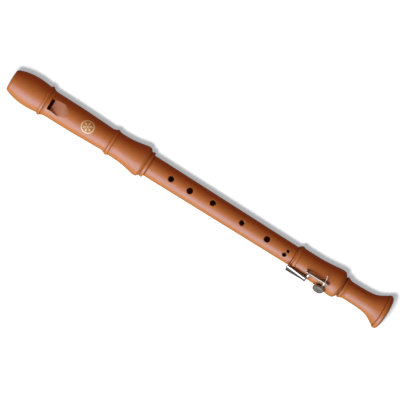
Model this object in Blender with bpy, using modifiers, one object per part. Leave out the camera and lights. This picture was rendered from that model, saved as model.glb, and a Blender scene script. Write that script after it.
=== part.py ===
"""Tenor recorder lying on its back.

+X runs along the bore from the mouthpiece to the bell, +Z is the front with the
finger holes, and the little finger's key is on the -Y side.  All sizes are metres.
Stations along each joint are measured from that joint's mouthpiece end.  Angles
round the bore are measured from the front (+Z) toward the key side (-Y).
"""

import math

import bmesh
import bpy
from mathutils import Matrix, Vector

MM = 0.001

# Overall make-up
HEAD_LENGTH = 233.5 * MM
MIDDLE_LENGTH = 247.5 * MM
FOOT_LENGTH = 158.4 * MM
SEAM = 0.3 * MM
CLEARANCE = 0.3 * MM
TURNING_STEPS = 36

# Head joint, outside
TIP_RADIUS = 17.0 * MM
TIP_ROUNDING = 2.0 * MM
BEAK_RADIUS = 23.3 * MM
BEAK_CREST_AT = 35.0 * MM
BEAK_FULLNESS = 2.0
BEAK_FOOT_RADIUS = 21.5 * MM
UPPER_RING_AT = 57.2 * MM
UPPER_RING_WIDTH = 6.0 * MM
UPPER_RING_RADIUS = 23.7 * MM
BARREL_TOP_RADIUS = 19.75 * MM
BARREL_WAIST_RADIUS = 17.65 * MM
BARREL_FILLET = 6.5 * MM
LOWER_RING_FROM_END = 62.8 * MM
LOWER_RING_WIDTH = 6.0 * MM
LOWER_RING_RADIUS = 20.9 * MM
LOWER_RING_BASE_RADIUS = 19.1 * MM
COVE_WIDTH = 4.6 * MM
NECK_RADIUS = 18.93 * MM
BULGE_FROM_END = 13.5 * MM
BULGE_LENGTH = 37.0 * MM
BULGE_RADIUS = 23.7 * MM
END_RING_RADIUS = 20.3 * MM
END_RING_WIDTH = 5.0 * MM
END_GROOVE_RADIUS = 19.2 * MM
END_GROOVE_WIDTH = 1.3 * MM

# Head joint, inside
HEAD_BORE_RADIUS = 12.2 * MM
UPPER_SOCKET_RADIUS = 14.3 * MM
UPPER_TENON_LENGTH = 32.0 * MM

# Beak, windway and window
BEAK_CUT_RADIUS = 62.0 * MM
BEAK_CUT_TIP_HEIGHT = 3.5 * MM
BEAK_CUT_LENGTH = 49.0 * MM
WINDWAY_HALF_WIDTH = 8.5 * MM
WINDWAY_FLOOR = 11.6 * MM
WINDWAY_HEIGHT = 1.4 * MM
WINDWAY_LENGTH = 65.0 * MM
SLOT_DEPTH_FLOOR = 8.6 * MM
CUT_UP = 4.9 * MM
LABIUM_EDGE_HEIGHT = 12.5 * MM
LABIUM_THICKNESS = 0.2 * MM
LABIUM_SLOPE = math.radians(16.2)
LABIUM_FLARE = math.radians(8.0)
LABIUM_CHANNEL_LENGTH = 15.0 * MM

# Middle joint
MIDDLE_TOP_RADIUS = 16.9 * MM
MIDDLE_END_RADIUS = 15.15 * MM
MIDDLE_BORE_TOP_RADIUS = 11.0 * MM
MIDDLE_BORE_END_RADIUS = 8.0 * MM
EDGE_CHAMFER = 0.5 * MM
TENON_SHOULDER = 4.5 * MM
CORK_DEPTH = 0.9 * MM
CORK_PROUD = 0.15 * MM
LOWER_SOCKET_RADIUS = 12.25 * MM
LOWER_TENON_LENGTH = 26.0 * MM

# Finger holes: share of the middle joint's length, angle of the mouth, angle of the drill,
# radius, and slant along the bore.  The last two are the double hole, drilled side by side.
FINGER_HOLES = (
    (0.1493, 0.0, 0.0, 4.1 * MM, 0.0),
    (0.2790, 0.0, 0.0, 4.5 * MM, 0.0),
    (0.4295, -12.0, -12.0, 4.6 * MM, 16.0),
    (0.6375, -4.0, -4.0, 4.2 * MM, -16.0),
    (0.8125, 0.0, 0.0, 4.4 * MM, 0.0),
    (0.9465, 21.5, 8.0, 3.1 * MM, 0.0),
    (0.9550, -5.5, 8.0, 2.0 * MM, 0.0),
)
THUMB_HOLE_SHARE = 0.0889
THUMB_HOLE_RADIUS = 4.0 * MM
DRILL_DEPTH_IN_BORE = 3.0 * MM

# Foot joint, outside
FOOT_LIP_RADIUS = 16.0 * MM
FOOT_STEP_RADIUS = 17.5 * MM
FOOT_STEP_AT = 2.2 * MM
FOOT_BEAD_AT = 6.1 * MM
FOOT_BEAD_WIDTH = 5.2 * MM
FOOT_BEAD_RADIUS = 19.7 * MM
FOOT_BODY_RADIUS = 18.4 * MM
FOOT_SWELL_START = 22.0 * MM
FOOT_SWELL_AT = 74.0 * MM
FOOT_SWELL_RADIUS = 21.75 * MM
FOOT_SHOULDER_LENGTH = 8.0 * MM
FOOT_SHOULDER_RADIUS = 19.2 * MM
FOOT_GROOVE_RADIUS = 14.3 * MM
FOOT_GROOVE_WIDTH = 4.0 * MM
FOOT_RING_RADIUS = 17.0 * MM
FOOT_RING_LENGTH = 8.4 * MM
BELL_NECK_RADIUS = 14.15 * MM
BELL_FLARE_LENGTH = 42.5 * MM
BELL_FLARE_RADIUS = 25.2 * MM
RIM_WIDTH = 7.4 * MM
RIM_CREST_FROM_END = 3.4 * MM
RIM_RADIUS = 27.2 * MM
RIM_FACE_RADIUS = 23.4 * MM

# Foot joint, inside
FOOT_BORE_TOP_RADIUS = 7.9 * MM
FOOT_BORE_END_RADIUS = 7.2 * MM
BELL_BORE_RADIUS = 11.0 * MM
BELL_BORE_DEPTH = 28.0 * MM

# Little finger's key
KEY_OPEN_ANGLE = math.radians(13.5)
HINGE_RADIUS_FROM_AXIS = 23.2 * MM
HINGE_ANGLE = math.radians(22.4)
UPPER_POST_AT = 28.0 * MM
LOWER_POST_AT = 61.3 * MM
POST_BALL_RADIUS = 2.4 * MM
POST_FLANGE_RADIUS = 2.7 * MM
POST_FLANGE_THICKNESS = 0.5 * MM
POST_STEM_RADIUS = 1.5 * MM
POST_BALL_LOW_SHARE = 0.85
POST_SHANK_RADIUS = 1.2 * MM
POST_SHANK_DEPTH = 3.6 * MM
PIVOT_ROD_RADIUS = 0.85 * MM
PIVOT_ROD_PROUD = 0.7 * MM
SCREW_SLOT_WIDTH = 0.4 * MM
TUBE_RADIUS = 2.1 * MM
TOUCH_ARM_AT = 31.7 * MM
TOUCH_ARM_WIDTH = 2.3 * MM
TOUCH_ARM_THICKNESS = 1.4 * MM
TOUCH_ARM_RUN = 2.4 * MM
TOUCH_ARM_DROP = (0.2 * MM, 0.9 * MM)
TOUCH_ARM_SHARES = (-1.15, -0.4, 0.3, 1.0)
TOUCH_PLATE_START = -1.2 * MM
TOUCH_PLATE_THICKNESS = 1.0 * MM
TOUCH_PLATE_RADIUS_FROM_AXIS = 25.2 * MM
TOUCH_PLATE_ANGLE = math.radians(57.7)
TOUCH_PLATE_FACING = math.radians(49.0)
TOUCH_PLATE_CURVE = 10.2 * MM
TOUCH_PLATE_HALF_ARC = math.radians(31.0)
TOUCH_PLATE_SHARES = (0.0, 0.03, 0.08, 0.16, 0.3, 0.65, 1.0)
TOUCH_PLATE_BLUNT_END = 0.35
TOUCH_PLATE_DIP = 1.4 * MM
TOUCH_PLATE_DIP_SHARE = 0.2
KEY_HOLE_AT = 55.3 * MM
KEY_HOLE_ANGLE = math.radians(71.0)
KEY_HOLE_RADIUS = 5.5 * MM
SEAT_RECESS_RADIUS = 10.0 * MM
SEAT_RADIUS_FROM_AXIS = 17.2 * MM
PAD_RADIUS = 7.6 * MM
PAD_THICKNESS = 2.5 * MM
PAD_ROUNDING = 0.5 * MM
CUP_RADIUS = 8.6 * MM
CUP_WALL = 0.7 * MM
CUP_RIM_LIFT = 1.1 * MM
CUP_DOME = 0.8 * MM
CUP_DOME_RADIUS = 3.6 * MM
CUP_ARM_AT = 57.3 * MM
CUP_ARM_WIDTH = 2.6 * MM
CUP_ARM_END_WIDTH = 13.0 * MM
CUP_ARM_RUN = 1.6 * MM
ARM_THICKNESS = 1.3 * MM
HEEL_WIDTH = 1.9 * MM
HEEL_TIP_SIDE = 2.2 * MM
HEEL_TIP_SHIFT = 1.7 * MM
HEEL_THICKNESS = 1.2 * MM
HEEL_CORK_RADIUS = 1.1 * MM
HEEL_CORK_THICKNESS = 1.0 * MM
SPRING_RADIUS = 0.3 * MM
SPRING_SIDE_SLOPE = math.radians(24.2)
SPRING_DEPTH_IN_POST = 1.45 * MM
SPRING_BEND_FROM_POST = 4.1 * MM
SPRING_CATCH_AT = 39.4 * MM
SPRING_CATCH_SLOPE = math.radians(56.0)
SPRING_CATCH_REACH = 3.8 * MM
SPRING_CATCH_THICKNESS = 0.9 * MM
SPRING_CATCH_WIDTH = 1.2 * MM

# Places worked out from the sizes above
TOTAL_LENGTH = HEAD_LENGTH + SEAM + MIDDLE_LENGTH + SEAM + FOOT_LENGTH
AXIS_HEIGHT = RIM_RADIUS
TIP_X = -TOTAL_LENGTH / 2
MIDDLE_X = TIP_X + HEAD_LENGTH + SEAM
FOOT_X = MIDDLE_X + MIDDLE_LENGTH + SEAM
UPPER_TENON_RADIUS = UPPER_SOCKET_RADIUS - CLEARANCE - CORK_PROUD
LOWER_TENON_RADIUS = LOWER_SOCKET_RADIUS - CLEARANCE - CORK_PROUD
FAR = 60.0 * MM


def radial(angle, radius):
    """Point of the cross-section at this angle from the front and radius from the bore axis."""
    return Vector((0.0, -radius * math.sin(angle), AXIS_HEIGHT + radius * math.cos(angle)))


HINGE = radial(HINGE_ANGLE, HINGE_RADIUS_FROM_AXIS)


def start_clean():
    for old in list(bpy.data.objects):
        bpy.data.objects.remove(old, do_unlink=True)


def new_collection(name):
    group = bpy.data.collections.new(name)
    bpy.context.scene.collection.children.link(group)
    return group


def make_material(name, colour, roughness, metallic=0.0):
    material = bpy.data.materials.new(name)
    material.use_nodes = True
    shader = material.node_tree.nodes["Principled BSDF"]
    shader.inputs["Base Color"].default_value = (*colour, 1.0)
    shader.inputs["Roughness"].default_value = roughness
    shader.inputs["Metallic"].default_value = metallic
    return material


# Outline helpers: each gives (station, radius) points of a turned profile

def eased(start, start_radius, end, end_radius, steps, lean=1.0):
    """A slope that leaves and arrives level; a lean over 1 starts it later."""
    points = []
    for step in range(steps + 1):
        along = step / steps
        bent = along ** lean
        rise = bent * bent * (3.0 - 2.0 * bent)
        points.append((start + (end - start) * along,
                       start_radius + (end_radius - start_radius) * rise))
    return points


def curved(start, start_radius, end, end_radius, steps, power):
    """A curve that leaves level and steepens by the given power."""
    points = []
    for step in range(steps + 1):
        along = step / steps
        points.append((start + (end - start) * along,
                       start_radius + (end_radius - start_radius) * along ** power))
    return points


def mirrored_curve(start, start_radius, end, end_radius, steps, power):
    """A curve that starts steep and arrives level."""
    back = curved(end, end_radius, start, start_radius, steps, power)
    return back[::-1]


def bead(middle, width, base_radius, top_radius, steps=5):
    """A half round ring standing on the base radius."""
    points = []
    for step in range(steps + 1):
        turn = math.pi * step / steps
        points.append((middle - math.cos(turn) * width / 2,
                       base_radius + (top_radius - base_radius) * math.sin(turn)))
    return points


def shoulder(start, end, crest_radius, foot_radius, steps=4):
    """A quarter round falling from its crest to its foot, or rising when the two are swapped in place."""
    points = []
    for step in range(steps + 1):
        turn = math.pi / 2 * step / steps
        points.append((start + (end - start) * math.sin(turn),
                       foot_radius + (crest_radius - foot_radius) * math.cos(turn)))
    return points


def head_outline():
    ring_base = BEAK_FOOT_RADIUS
    ring_start = UPPER_RING_AT - UPPER_RING_WIDTH / 2
    ring_end = UPPER_RING_AT + UPPER_RING_WIDTH / 2
    barrel_start = ring_end + BARREL_FILLET
    low_ring = HEAD_LENGTH - LOWER_RING_FROM_END
    low_start = low_ring - LOWER_RING_WIDTH / 2
    low_end = low_ring + LOWER_RING_WIDTH / 2
    bulge = HEAD_LENGTH - BULGE_FROM_END
    end_ring_start = HEAD_LENGTH - END_RING_WIDTH
    groove_start = end_ring_start - END_GROOVE_WIDTH
    points = shoulder(TIP_ROUNDING, 0.0, TIP_RADIUS, TIP_RADIUS - TIP_ROUNDING, 3)[::-1]
    points += mirrored_curve(TIP_ROUNDING, TIP_RADIUS, BEAK_CREST_AT, BEAK_RADIUS, 8, BEAK_FULLNESS)[1:]
    points += curved(BEAK_CREST_AT, BEAK_RADIUS, ring_start - CLEARANCE, ring_base, 4, 2.0)[1:]
    points += bead(UPPER_RING_AT, UPPER_RING_WIDTH, ring_base, UPPER_RING_RADIUS)
    fillet_start = ring_end + CLEARANCE
    waist = low_start - COVE_WIDTH
    points += mirrored_curve(fillet_start, ring_base - CLEARANCE, barrel_start, BARREL_TOP_RADIUS, 3, 2.0)
    points += curved(barrel_start, BARREL_TOP_RADIUS, waist, BARREL_WAIST_RADIUS, 6, 2.2)[1:]
    points += curved(waist, BARREL_WAIST_RADIUS, low_start, LOWER_RING_BASE_RADIUS, 2, 2.0)[1:-1]
    points += bead(low_ring, LOWER_RING_WIDTH, LOWER_RING_BASE_RADIUS, LOWER_RING_RADIUS)
    points += [(low_end + COVE_WIDTH / 2, NECK_RADIUS)]
    points += eased(bulge - BULGE_LENGTH, NECK_RADIUS, bulge, BULGE_RADIUS, 8, 1.4)
    points += shoulder(bulge, groove_start, BULGE_RADIUS, END_GROOVE_RADIUS, 5)[1:]
    points += [(end_ring_start - CLEARANCE, END_GROOVE_RADIUS)]
    points += [(end_ring_start, END_RING_RADIUS - EDGE_CHAMFER)]
    points += [(end_ring_start + EDGE_CHAMFER, END_RING_RADIUS)]
    points += [(HEAD_LENGTH - EDGE_CHAMFER, END_RING_RADIUS)]
    points += [(HEAD_LENGTH, END_RING_RADIUS - EDGE_CHAMFER)]
    return points


def head_bore():
    socket = HEAD_LENGTH - UPPER_TENON_LENGTH - CLEARANCE
    return [
        (HEAD_LENGTH, UPPER_SOCKET_RADIUS),
        (socket, UPPER_SOCKET_RADIUS),
        (socket, HEAD_BORE_RADIUS),
        (0.0, HEAD_BORE_RADIUS),
    ]


def tenon_outline(tip, shoulder_at, radius):
    """Tenon with a groove for its cork; tip and shoulder_at are stations, in either order."""
    way = 1.0 if shoulder_at > tip else -1.0
    groove_start = tip + way * TENON_SHOULDER
    groove_end = shoulder_at - way * TENON_SHOULDER
    return [
        (tip, radius - EDGE_CHAMFER),
        (tip + way * EDGE_CHAMFER, radius),
        (groove_start, radius),
        (groove_start, radius - CORK_DEPTH),
        (groove_end, radius - CORK_DEPTH),
        (groove_end, radius),
        (shoulder_at, radius),
    ]


def middle_outline():
    points = tenon_outline(-UPPER_TENON_LENGTH, 0.0, UPPER_TENON_RADIUS)
    points += [
        (0.0, MIDDLE_TOP_RADIUS - EDGE_CHAMFER),
        (EDGE_CHAMFER, MIDDLE_TOP_RADIUS),
        (MIDDLE_LENGTH - EDGE_CHAMFER, MIDDLE_END_RADIUS),
        (MIDDLE_LENGTH, MIDDLE_END_RADIUS - EDGE_CHAMFER),
    ]
    points += tenon_outline(MIDDLE_LENGTH + LOWER_TENON_LENGTH, MIDDLE_LENGTH, LOWER_TENON_RADIUS)[::-1]
    return points


def middle_bore():
    return [
        (MIDDLE_LENGTH + LOWER_TENON_LENGTH, MIDDLE_BORE_END_RADIUS),
        (-UPPER_TENON_LENGTH, MIDDLE_BORE_TOP_RADIUS),
    ]


def foot_body_outline():
    return eased(FOOT_SWELL_START, FOOT_BODY_RADIUS, FOOT_SWELL_AT, FOOT_SWELL_RADIUS, 8, 2.0)


def foot_radius(station):
    """Outside radius of the foot's body where the key stands on it."""
    outline = [(0.0, FOOT_BODY_RADIUS)] + foot_body_outline()
    for (before, low), (after, high) in zip(outline, outline[1:]):
        if before <= station <= after:
            return low + (high - low) * (station - before) / (after - before)
    return FOOT_SWELL_RADIUS


def foot_outline():
    bead_start = FOOT_BEAD_AT - FOOT_BEAD_WIDTH / 2
    bead_end = FOOT_BEAD_AT + FOOT_BEAD_WIDTH / 2
    shoulder_end = FOOT_SWELL_AT + FOOT_SHOULDER_LENGTH
    ring_start = shoulder_end + FOOT_GROOVE_WIDTH
    neck_start = ring_start + FOOT_RING_LENGTH
    rim_start = FOOT_LENGTH - RIM_WIDTH
    flare_start = rim_start - BELL_FLARE_LENGTH
    rim_crest = FOOT_LENGTH - RIM_CREST_FROM_END
    points = [
        (0.0, FOOT_LIP_RADIUS),
        (EDGE_CHAMFER, FOOT_LIP_RADIUS + EDGE_CHAMFER),
        (FOOT_STEP_AT, FOOT_STEP_RADIUS),
    ]
    points += bead(FOOT_BEAD_AT, FOOT_BEAD_WIDTH, FOOT_BODY_RADIUS + CLEARANCE, FOOT_BEAD_RADIUS)
    points += [(bead_end + CLEARANCE, FOOT_BODY_RADIUS)]
    points += foot_body_outline()
    points += shoulder(FOOT_SWELL_AT, shoulder_end, FOOT_SWELL_RADIUS, FOOT_SHOULDER_RADIUS, 4)[1:]
    points += [(shoulder_end + EDGE_CHAMFER, FOOT_GROOVE_RADIUS), (ring_start, FOOT_GROOVE_RADIUS)]
    points += shoulder(ring_start, neck_start, FOOT_RING_RADIUS, BELL_NECK_RADIUS, 4)
    points += curved(flare_start, BELL_NECK_RADIUS, rim_start, BELL_FLARE_RADIUS, 9, 3.0)
    points += shoulder(rim_crest, rim_start, RIM_RADIUS, BELL_FLARE_RADIUS, 3)[::-1][1:]
    points += shoulder(rim_crest, FOOT_LENGTH, RIM_RADIUS, RIM_FACE_RADIUS, 4)[1:]
    return points


def foot_bore():
    socket = LOWER_TENON_LENGTH + CLEARANCE
    bell = FOOT_LENGTH - BELL_BORE_DEPTH
    points = [(0.0, LOWER_SOCKET_RADIUS), (socket, LOWER_SOCKET_RADIUS), (socket, FOOT_BORE_TOP_RADIUS)]
    points += curved(bell, FOOT_BORE_END_RADIUS, FOOT_LENGTH, BELL_BORE_RADIUS, 4, 2.0)
    return points[::-1]


class Workshop:
    """Keeps the collections and makes the recorder's pieces and the tools that cut them."""

    def __init__(self):
        self.parts = new_collection("tenor_recorder")
        self.cutters = new_collection("cutters")

    def place(self, mesh, name, group):
        thing = bpy.data.objects.new(name, mesh)
        group.objects.link(thing)
        return thing

    def part(self, mesh, name, material):
        thing = self.place(mesh, name, self.parts)
        mesh.materials.append(material)
        mesh.shade_smooth()
        mesh.set_sharp_from_angle(angle=math.radians(35.0))
        return thing

    def cutter(self, mesh, name):
        thing = self.place(mesh, name, self.cutters)
        thing.hide_render = True
        thing.display_type = "WIRE"
        return thing

    def cut(self, thing, tool):
        self.boolean(thing, tool, "DIFFERENCE")

    def join(self, thing, tool):
        self.boolean(thing, tool, "UNION")

    def boolean(self, thing, tool, operation):
        step = thing.modifiers.new(tool.name, "BOOLEAN")
        step.operation = operation
        step.solver = "EXACT"
        step.object = tool

    def ride(self, thing, carrier):
        """Parents a piece to its carrier and keeps it where it is."""
        thing.parent = carrier
        thing.matrix_parent_inverse = Matrix.Translation(-carrier.location)


def profile_mesh(name, outline):
    """Closed profile loop in local X (radius) and Z (station), running down its outer side."""
    shape = bmesh.new()
    corners = []
    for station, radius in reversed(outline):
        corners.append(shape.verts.new((radius, 0.0, station)))
    for index, corner in enumerate(corners):
        shape.edges.new((corner, corners[(index + 1) % len(corners)]))
    mesh = bpy.data.meshes.new(name)
    shape.to_mesh(mesh)
    shape.free()
    return mesh


def add_screw(thing, steps=TURNING_STEPS):
    turn = thing.modifiers.new("turned", "SCREW")
    turn.axis = "Z"
    turn.angle = math.tau
    turn.steps = steps
    turn.render_steps = steps
    turn.use_merge_vertices = True
    turn.merge_threshold = 0.01 * MM
    turn.use_smooth_shade = True


def turn_piece(shop, name, outline, material, start_x):
    """A ring-shaped piece turned round the bore axis."""
    thing = shop.part(profile_mesh(name, outline), name, material)
    thing.location = (start_x, 0.0, AXIS_HEIGHT)
    thing.rotation_euler = (0.0, math.pi / 2, 0.0)
    add_screw(thing)
    return thing


def solid_of_revolution(name, outline, steps):
    """Mesh of a solid turned piece whose profile starts and ends on its axis, local Z."""
    shape = bmesh.new()
    rings = []
    for station, radius in outline:
        ring = []
        if radius <= 0.0:
            ring.append(shape.verts.new((0.0, 0.0, station)))
        else:
            for step in range(steps):
                turn = math.tau * step / steps
                ring.append(shape.verts.new((radius * math.cos(turn), radius * math.sin(turn), station)))
        rings.append(ring)
    for low, high in zip(rings, rings[1:]):
        for step in range(steps):
            after = (step + 1) % steps
            if len(low) == 1:
                shape.faces.new((low[0], high[after], high[step]))
            elif len(high) == 1:
                shape.faces.new((low[step], low[after], high[0]))
            else:
                shape.faces.new((low[step], low[after], high[after], high[step]))
    bmesh.ops.recalc_face_normals(shape, faces=shape.faces)
    mesh = bpy.data.meshes.new(name)
    shape.to_mesh(mesh)
    shape.free()
    return mesh


def loft_mesh(name, sections):
    """Closed solid through sections that all have the same number of corners."""
    shape = bmesh.new()
    rings = [[shape.verts.new(corner) for corner in section] for section in sections]
    count = len(rings[0])
    for low, high in zip(rings, rings[1:]):
        for index in range(count):
            after = (index + 1) % count
            shape.faces.new((low[index], low[after], high[after], high[index]))
    shape.faces.new(rings[0][::-1])
    shape.faces.new(rings[-1])
    bmesh.ops.recalc_face_normals(shape, faces=shape.faces)
    mesh = bpy.data.meshes.new(name)
    shape.to_mesh(mesh)
    shape.free()
    return mesh


def cylinder_mesh(name, radius, start, end, steps):
    """Closed cylinder between two points."""
    shape = bmesh.new()
    length = (end - start).length
    bmesh.ops.create_cone(shape, cap_ends=True, segments=steps, radius1=radius, radius2=radius, depth=length)
    way = (end - start).to_track_quat("Z", "Y").to_matrix().to_4x4()
    bmesh.ops.transform(shape, matrix=Matrix.Translation((start + end) / 2) @ way, verts=shape.verts)
    mesh = bpy.data.meshes.new(name)
    shape.to_mesh(mesh)
    shape.free()
    return mesh


def box_mesh(name, low, high):
    """Closed box between its lowest and highest corner."""
    shape = bmesh.new()
    bmesh.ops.create_cube(shape, size=1.0)
    size = high - low
    bmesh.ops.transform(shape, matrix=Matrix.Translation((low + high) / 2) @ Matrix.Diagonal((*size, 1.0)),
                        verts=shape.verts)
    mesh = bpy.data.meshes.new(name)
    shape.to_mesh(mesh)
    shape.free()
    return mesh


def strap_mesh(name, stations, thickness):
    """Flat strap through (centre, width along the bore) stations that lie in the cross-section."""
    sections = []
    for index, (centre, width) in enumerate(stations):
        before = stations[max(index - 1, 0)][0]
        after = stations[min(index + 1, len(stations) - 1)][0]
        along = Vector((0.0, after.y - before.y, after.z - before.z)).normalized()
        across = Vector((0.0, -along.z, along.y)) * thickness / 2
        side = Vector((width / 2, 0.0, 0.0))
        sections.append((centre - side - across, centre + side - across,
                         centre + side + across, centre - side + across))
    return loft_mesh(name, sections)


def at_station(x, point):
    return Vector((x, point.y, point.z))


def make_beak_cutter(shop):
    """Large drum across the bore whose side is the hollow under the beak."""
    low = Vector((TIP_X, 0.0, AXIS_HEIGHT + BEAK_CUT_TIP_HEIGHT))
    high = Vector((TIP_X + BEAK_CUT_LENGTH, 0.0, AXIS_HEIGHT - BEAK_RADIUS))
    chord = high - low
    drop = math.sqrt(BEAK_CUT_RADIUS ** 2 - (chord.length / 2) ** 2)
    inward = Vector((chord.z, 0.0, -chord.x)).normalized()
    centre = (low + high) / 2 + inward * drop
    side = Vector((0.0, FAR, 0.0))
    drum = cylinder_mesh("beak_cut", BEAK_CUT_RADIUS, centre - side, centre + side, 96)
    return shop.cutter(drum, "beak_cut")


def make_windway_cutters(shop):
    half = WINDWAY_HALF_WIDTH
    slot_low = AXIS_HEIGHT + SLOT_DEPTH_FLOOR
    exit_x = TIP_X + WINDWAY_LENGTH
    edge_x = exit_x + CUT_UP
    windway = box_mesh("windway_cut", Vector((TIP_X - MM, -half, slot_low)),
                       Vector((exit_x, half, AXIS_HEIGHT + WINDWAY_FLOOR + WINDWAY_HEIGHT)))
    channel = box_mesh("channel_cut", Vector((exit_x - MM, -half, slot_low)),
                       Vector((edge_x + LABIUM_CHANNEL_LENGTH, half,
                               AXIS_HEIGHT + LABIUM_EDGE_HEIGHT - LABIUM_THICKNESS)))
    window = box_mesh("window_cut", Vector((exit_x, -half, slot_low)),
                      Vector((edge_x, half, AXIS_HEIGHT + FAR)))
    ramp_start = edge_x - CLEARANCE
    sections = []
    for x in (ramp_start, ramp_start + FAR):
        wide = half + (x - edge_x) * math.tan(LABIUM_FLARE)
        floor = AXIS_HEIGHT + LABIUM_EDGE_HEIGHT + (x - edge_x) * math.tan(LABIUM_SLOPE)
        sections.append((Vector((x, -wide, floor)), Vector((x, wide, floor)),
                         Vector((x, wide, AXIS_HEIGHT + FAR)), Vector((x, -wide, AXIS_HEIGHT + FAR))))
    ramp = loft_mesh("ramp_cut", sections)
    return [shop.cutter(mesh, mesh.name) for mesh in (windway, channel, window, ramp)]


def make_head(shop, wood, beak_cut):
    head = turn_piece(shop, "head_joint", head_outline() + head_bore(), wood, TIP_X)
    for tool in make_windway_cutters(shop):
        shop.cut(head, tool)
    shop.cut(head, beak_cut)
    return head


def make_block(shop, cedar, beak_cut):
    """Plug that fills the bore under the windway; its flat top is the windway's floor."""
    radius = HEAD_BORE_RADIUS - CLEARANCE
    length = WINDWAY_LENGTH - CLEARANCE
    outline = [(0.0, 0.0), (0.0, radius), (length, radius), (length, 0.0)]
    block = shop.part(solid_of_revolution("block", outline, TURNING_STEPS), "block", cedar)
    block.location = (TIP_X, 0.0, AXIS_HEIGHT)
    block.rotation_euler = (0.0, math.pi / 2, 0.0)
    half = WINDWAY_HALF_WIDTH - CLEARANCE
    floor_z = AXIS_HEIGHT + WINDWAY_FLOOR
    rib = box_mesh("block_rib", Vector((TIP_X, -half, AXIS_HEIGHT)), Vector((TIP_X + length, half, floor_z)))
    shop.join(block, shop.cutter(rib, "block_rib"))
    plane = box_mesh("floor_cut", Vector((TIP_X - MM, -FAR, floor_z)),
                     Vector((TIP_X + length + MM, FAR, floor_z + FAR)))
    shop.cut(block, shop.cutter(plane, "floor_cut"))
    shop.cut(block, beak_cut)
    return block


def hole_cutter(shop, name, share, mouth_degrees, drill_degrees, radius, slant_degrees):
    """Hole from outside into the bore; a positive slant leads its inner end toward the foot."""
    surface = MIDDLE_TOP_RADIUS + (MIDDLE_END_RADIUS - MIDDLE_TOP_RADIUS) * share
    bore = MIDDLE_BORE_TOP_RADIUS + (MIDDLE_BORE_END_RADIUS - MIDDLE_BORE_TOP_RADIUS) * share
    mouth = at_station(MIDDLE_X + MIDDLE_LENGTH * share, radial(math.radians(mouth_degrees), surface))
    drill_angle = math.radians(drill_degrees)
    inward = radial(drill_angle, 0.0) - radial(drill_angle, surface)
    inward.x = surface * math.tan(math.radians(slant_degrees))
    inward.normalize()
    reach = surface - bore + DRILL_DEPTH_IN_BORE
    drill = cylinder_mesh(name, radius, mouth - inward * FAR / 4, mouth + inward * reach, 16)
    return shop.cutter(drill, name)


def make_middle(shop, wood):
    middle = turn_piece(shop, "middle_joint", middle_outline() + middle_bore(), wood, MIDDLE_X)
    holes = list(FINGER_HOLES) + [(THUMB_HOLE_SHARE, 180.0, 180.0, THUMB_HOLE_RADIUS, 0.0)]
    for number, hole in enumerate(holes, start=1):
        shop.cut(middle, hole_cutter(shop, f"hole_{number}", *hole))
    return middle


def make_tenon_cork(shop, name, cork, tip, shoulder_at, tenon_radius):
    low, high = sorted((tip, shoulder_at))
    start = low + TENON_SHOULDER + CLEARANCE
    end = high - TENON_SHOULDER - CLEARANCE
    inner = tenon_radius - CORK_DEPTH + CLEARANCE
    outer = tenon_radius + CORK_PROUD
    outline = [(start, outer), (end, outer), (end, inner), (start, inner)]
    return turn_piece(shop, name, outline, cork, MIDDLE_X)


def post_matrix(station):
    """Local Z of a post points out of the foot through the hinge line."""
    return Matrix.Translation((FOOT_X + station, 0.0, AXIS_HEIGHT)) @ Matrix.Rotation(HINGE_ANGLE, 4, "X")


def make_foot(shop, wood):
    foot = turn_piece(shop, "foot_joint", foot_outline() + foot_bore(), wood, FOOT_X)
    x = FOOT_X + KEY_HOLE_AT
    seat = at_station(x, radial(KEY_HOLE_ANGLE, SEAT_RADIUS_FROM_AXIS))
    outside = at_station(x, radial(KEY_HOLE_ANGLE, FAR))
    inside = at_station(x, radial(KEY_HOLE_ANGLE, FOOT_BORE_END_RADIUS / 2))
    recess = cylinder_mesh("seat_recess", SEAT_RECESS_RADIUS, seat, outside, 32)
    shop.cut(foot, shop.cutter(recess, "seat_recess"))
    tone_hole = cylinder_mesh("key_hole", KEY_HOLE_RADIUS, inside, outside, 20)
    shop.cut(foot, shop.cutter(tone_hole, "key_hole"))
    for name, station in (("upper_post_hole", UPPER_POST_AT), ("lower_post_hole", LOWER_POST_AT)):
        depth = foot_radius(station) - POST_SHANK_DEPTH - CLEARANCE
        bottom = at_station(FOOT_X + station, radial(HINGE_ANGLE, depth))
        top = at_station(FOOT_X + station, radial(HINGE_ANGLE, FAR))
        shop.cut(foot, shop.cutter(cylinder_mesh(name, POST_SHANK_RADIUS + CLEARANCE, bottom, top, 12), name))
    return foot


def post_outline(station):
    """Shank in the wood, a thin flange on it, a waist and the ball round the hinge line."""
    seat = foot_radius(station) + CLEARANCE
    flange_top = seat + POST_FLANGE_THICKNESS
    points = [
        (seat - POST_SHANK_DEPTH, 0.0),
        (seat - POST_SHANK_DEPTH, POST_SHANK_RADIUS),
        (seat, POST_SHANK_RADIUS),
        (seat, POST_FLANGE_RADIUS),
        (flange_top, POST_FLANGE_RADIUS),
    ]
    lowest = max(flange_top, HINGE_RADIUS_FROM_AXIS - POST_BALL_RADIUS * POST_BALL_LOW_SHARE)
    first = math.acos((HINGE_RADIUS_FROM_AXIS - lowest) / POST_BALL_RADIUS)
    waist = POST_BALL_RADIUS * math.sin(first)
    if lowest > flange_top:
        points.append((flange_top, min(POST_STEM_RADIUS, waist)))
    steps = 7
    for step in range(steps + 1):
        turn = first + (math.pi - first) * step / steps
        radius = POST_BALL_RADIUS * math.sin(turn) if step < steps else 0.0
        points.append((HINGE_RADIUS_FROM_AXIS - POST_BALL_RADIUS * math.cos(turn), radius))
    return points


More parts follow.
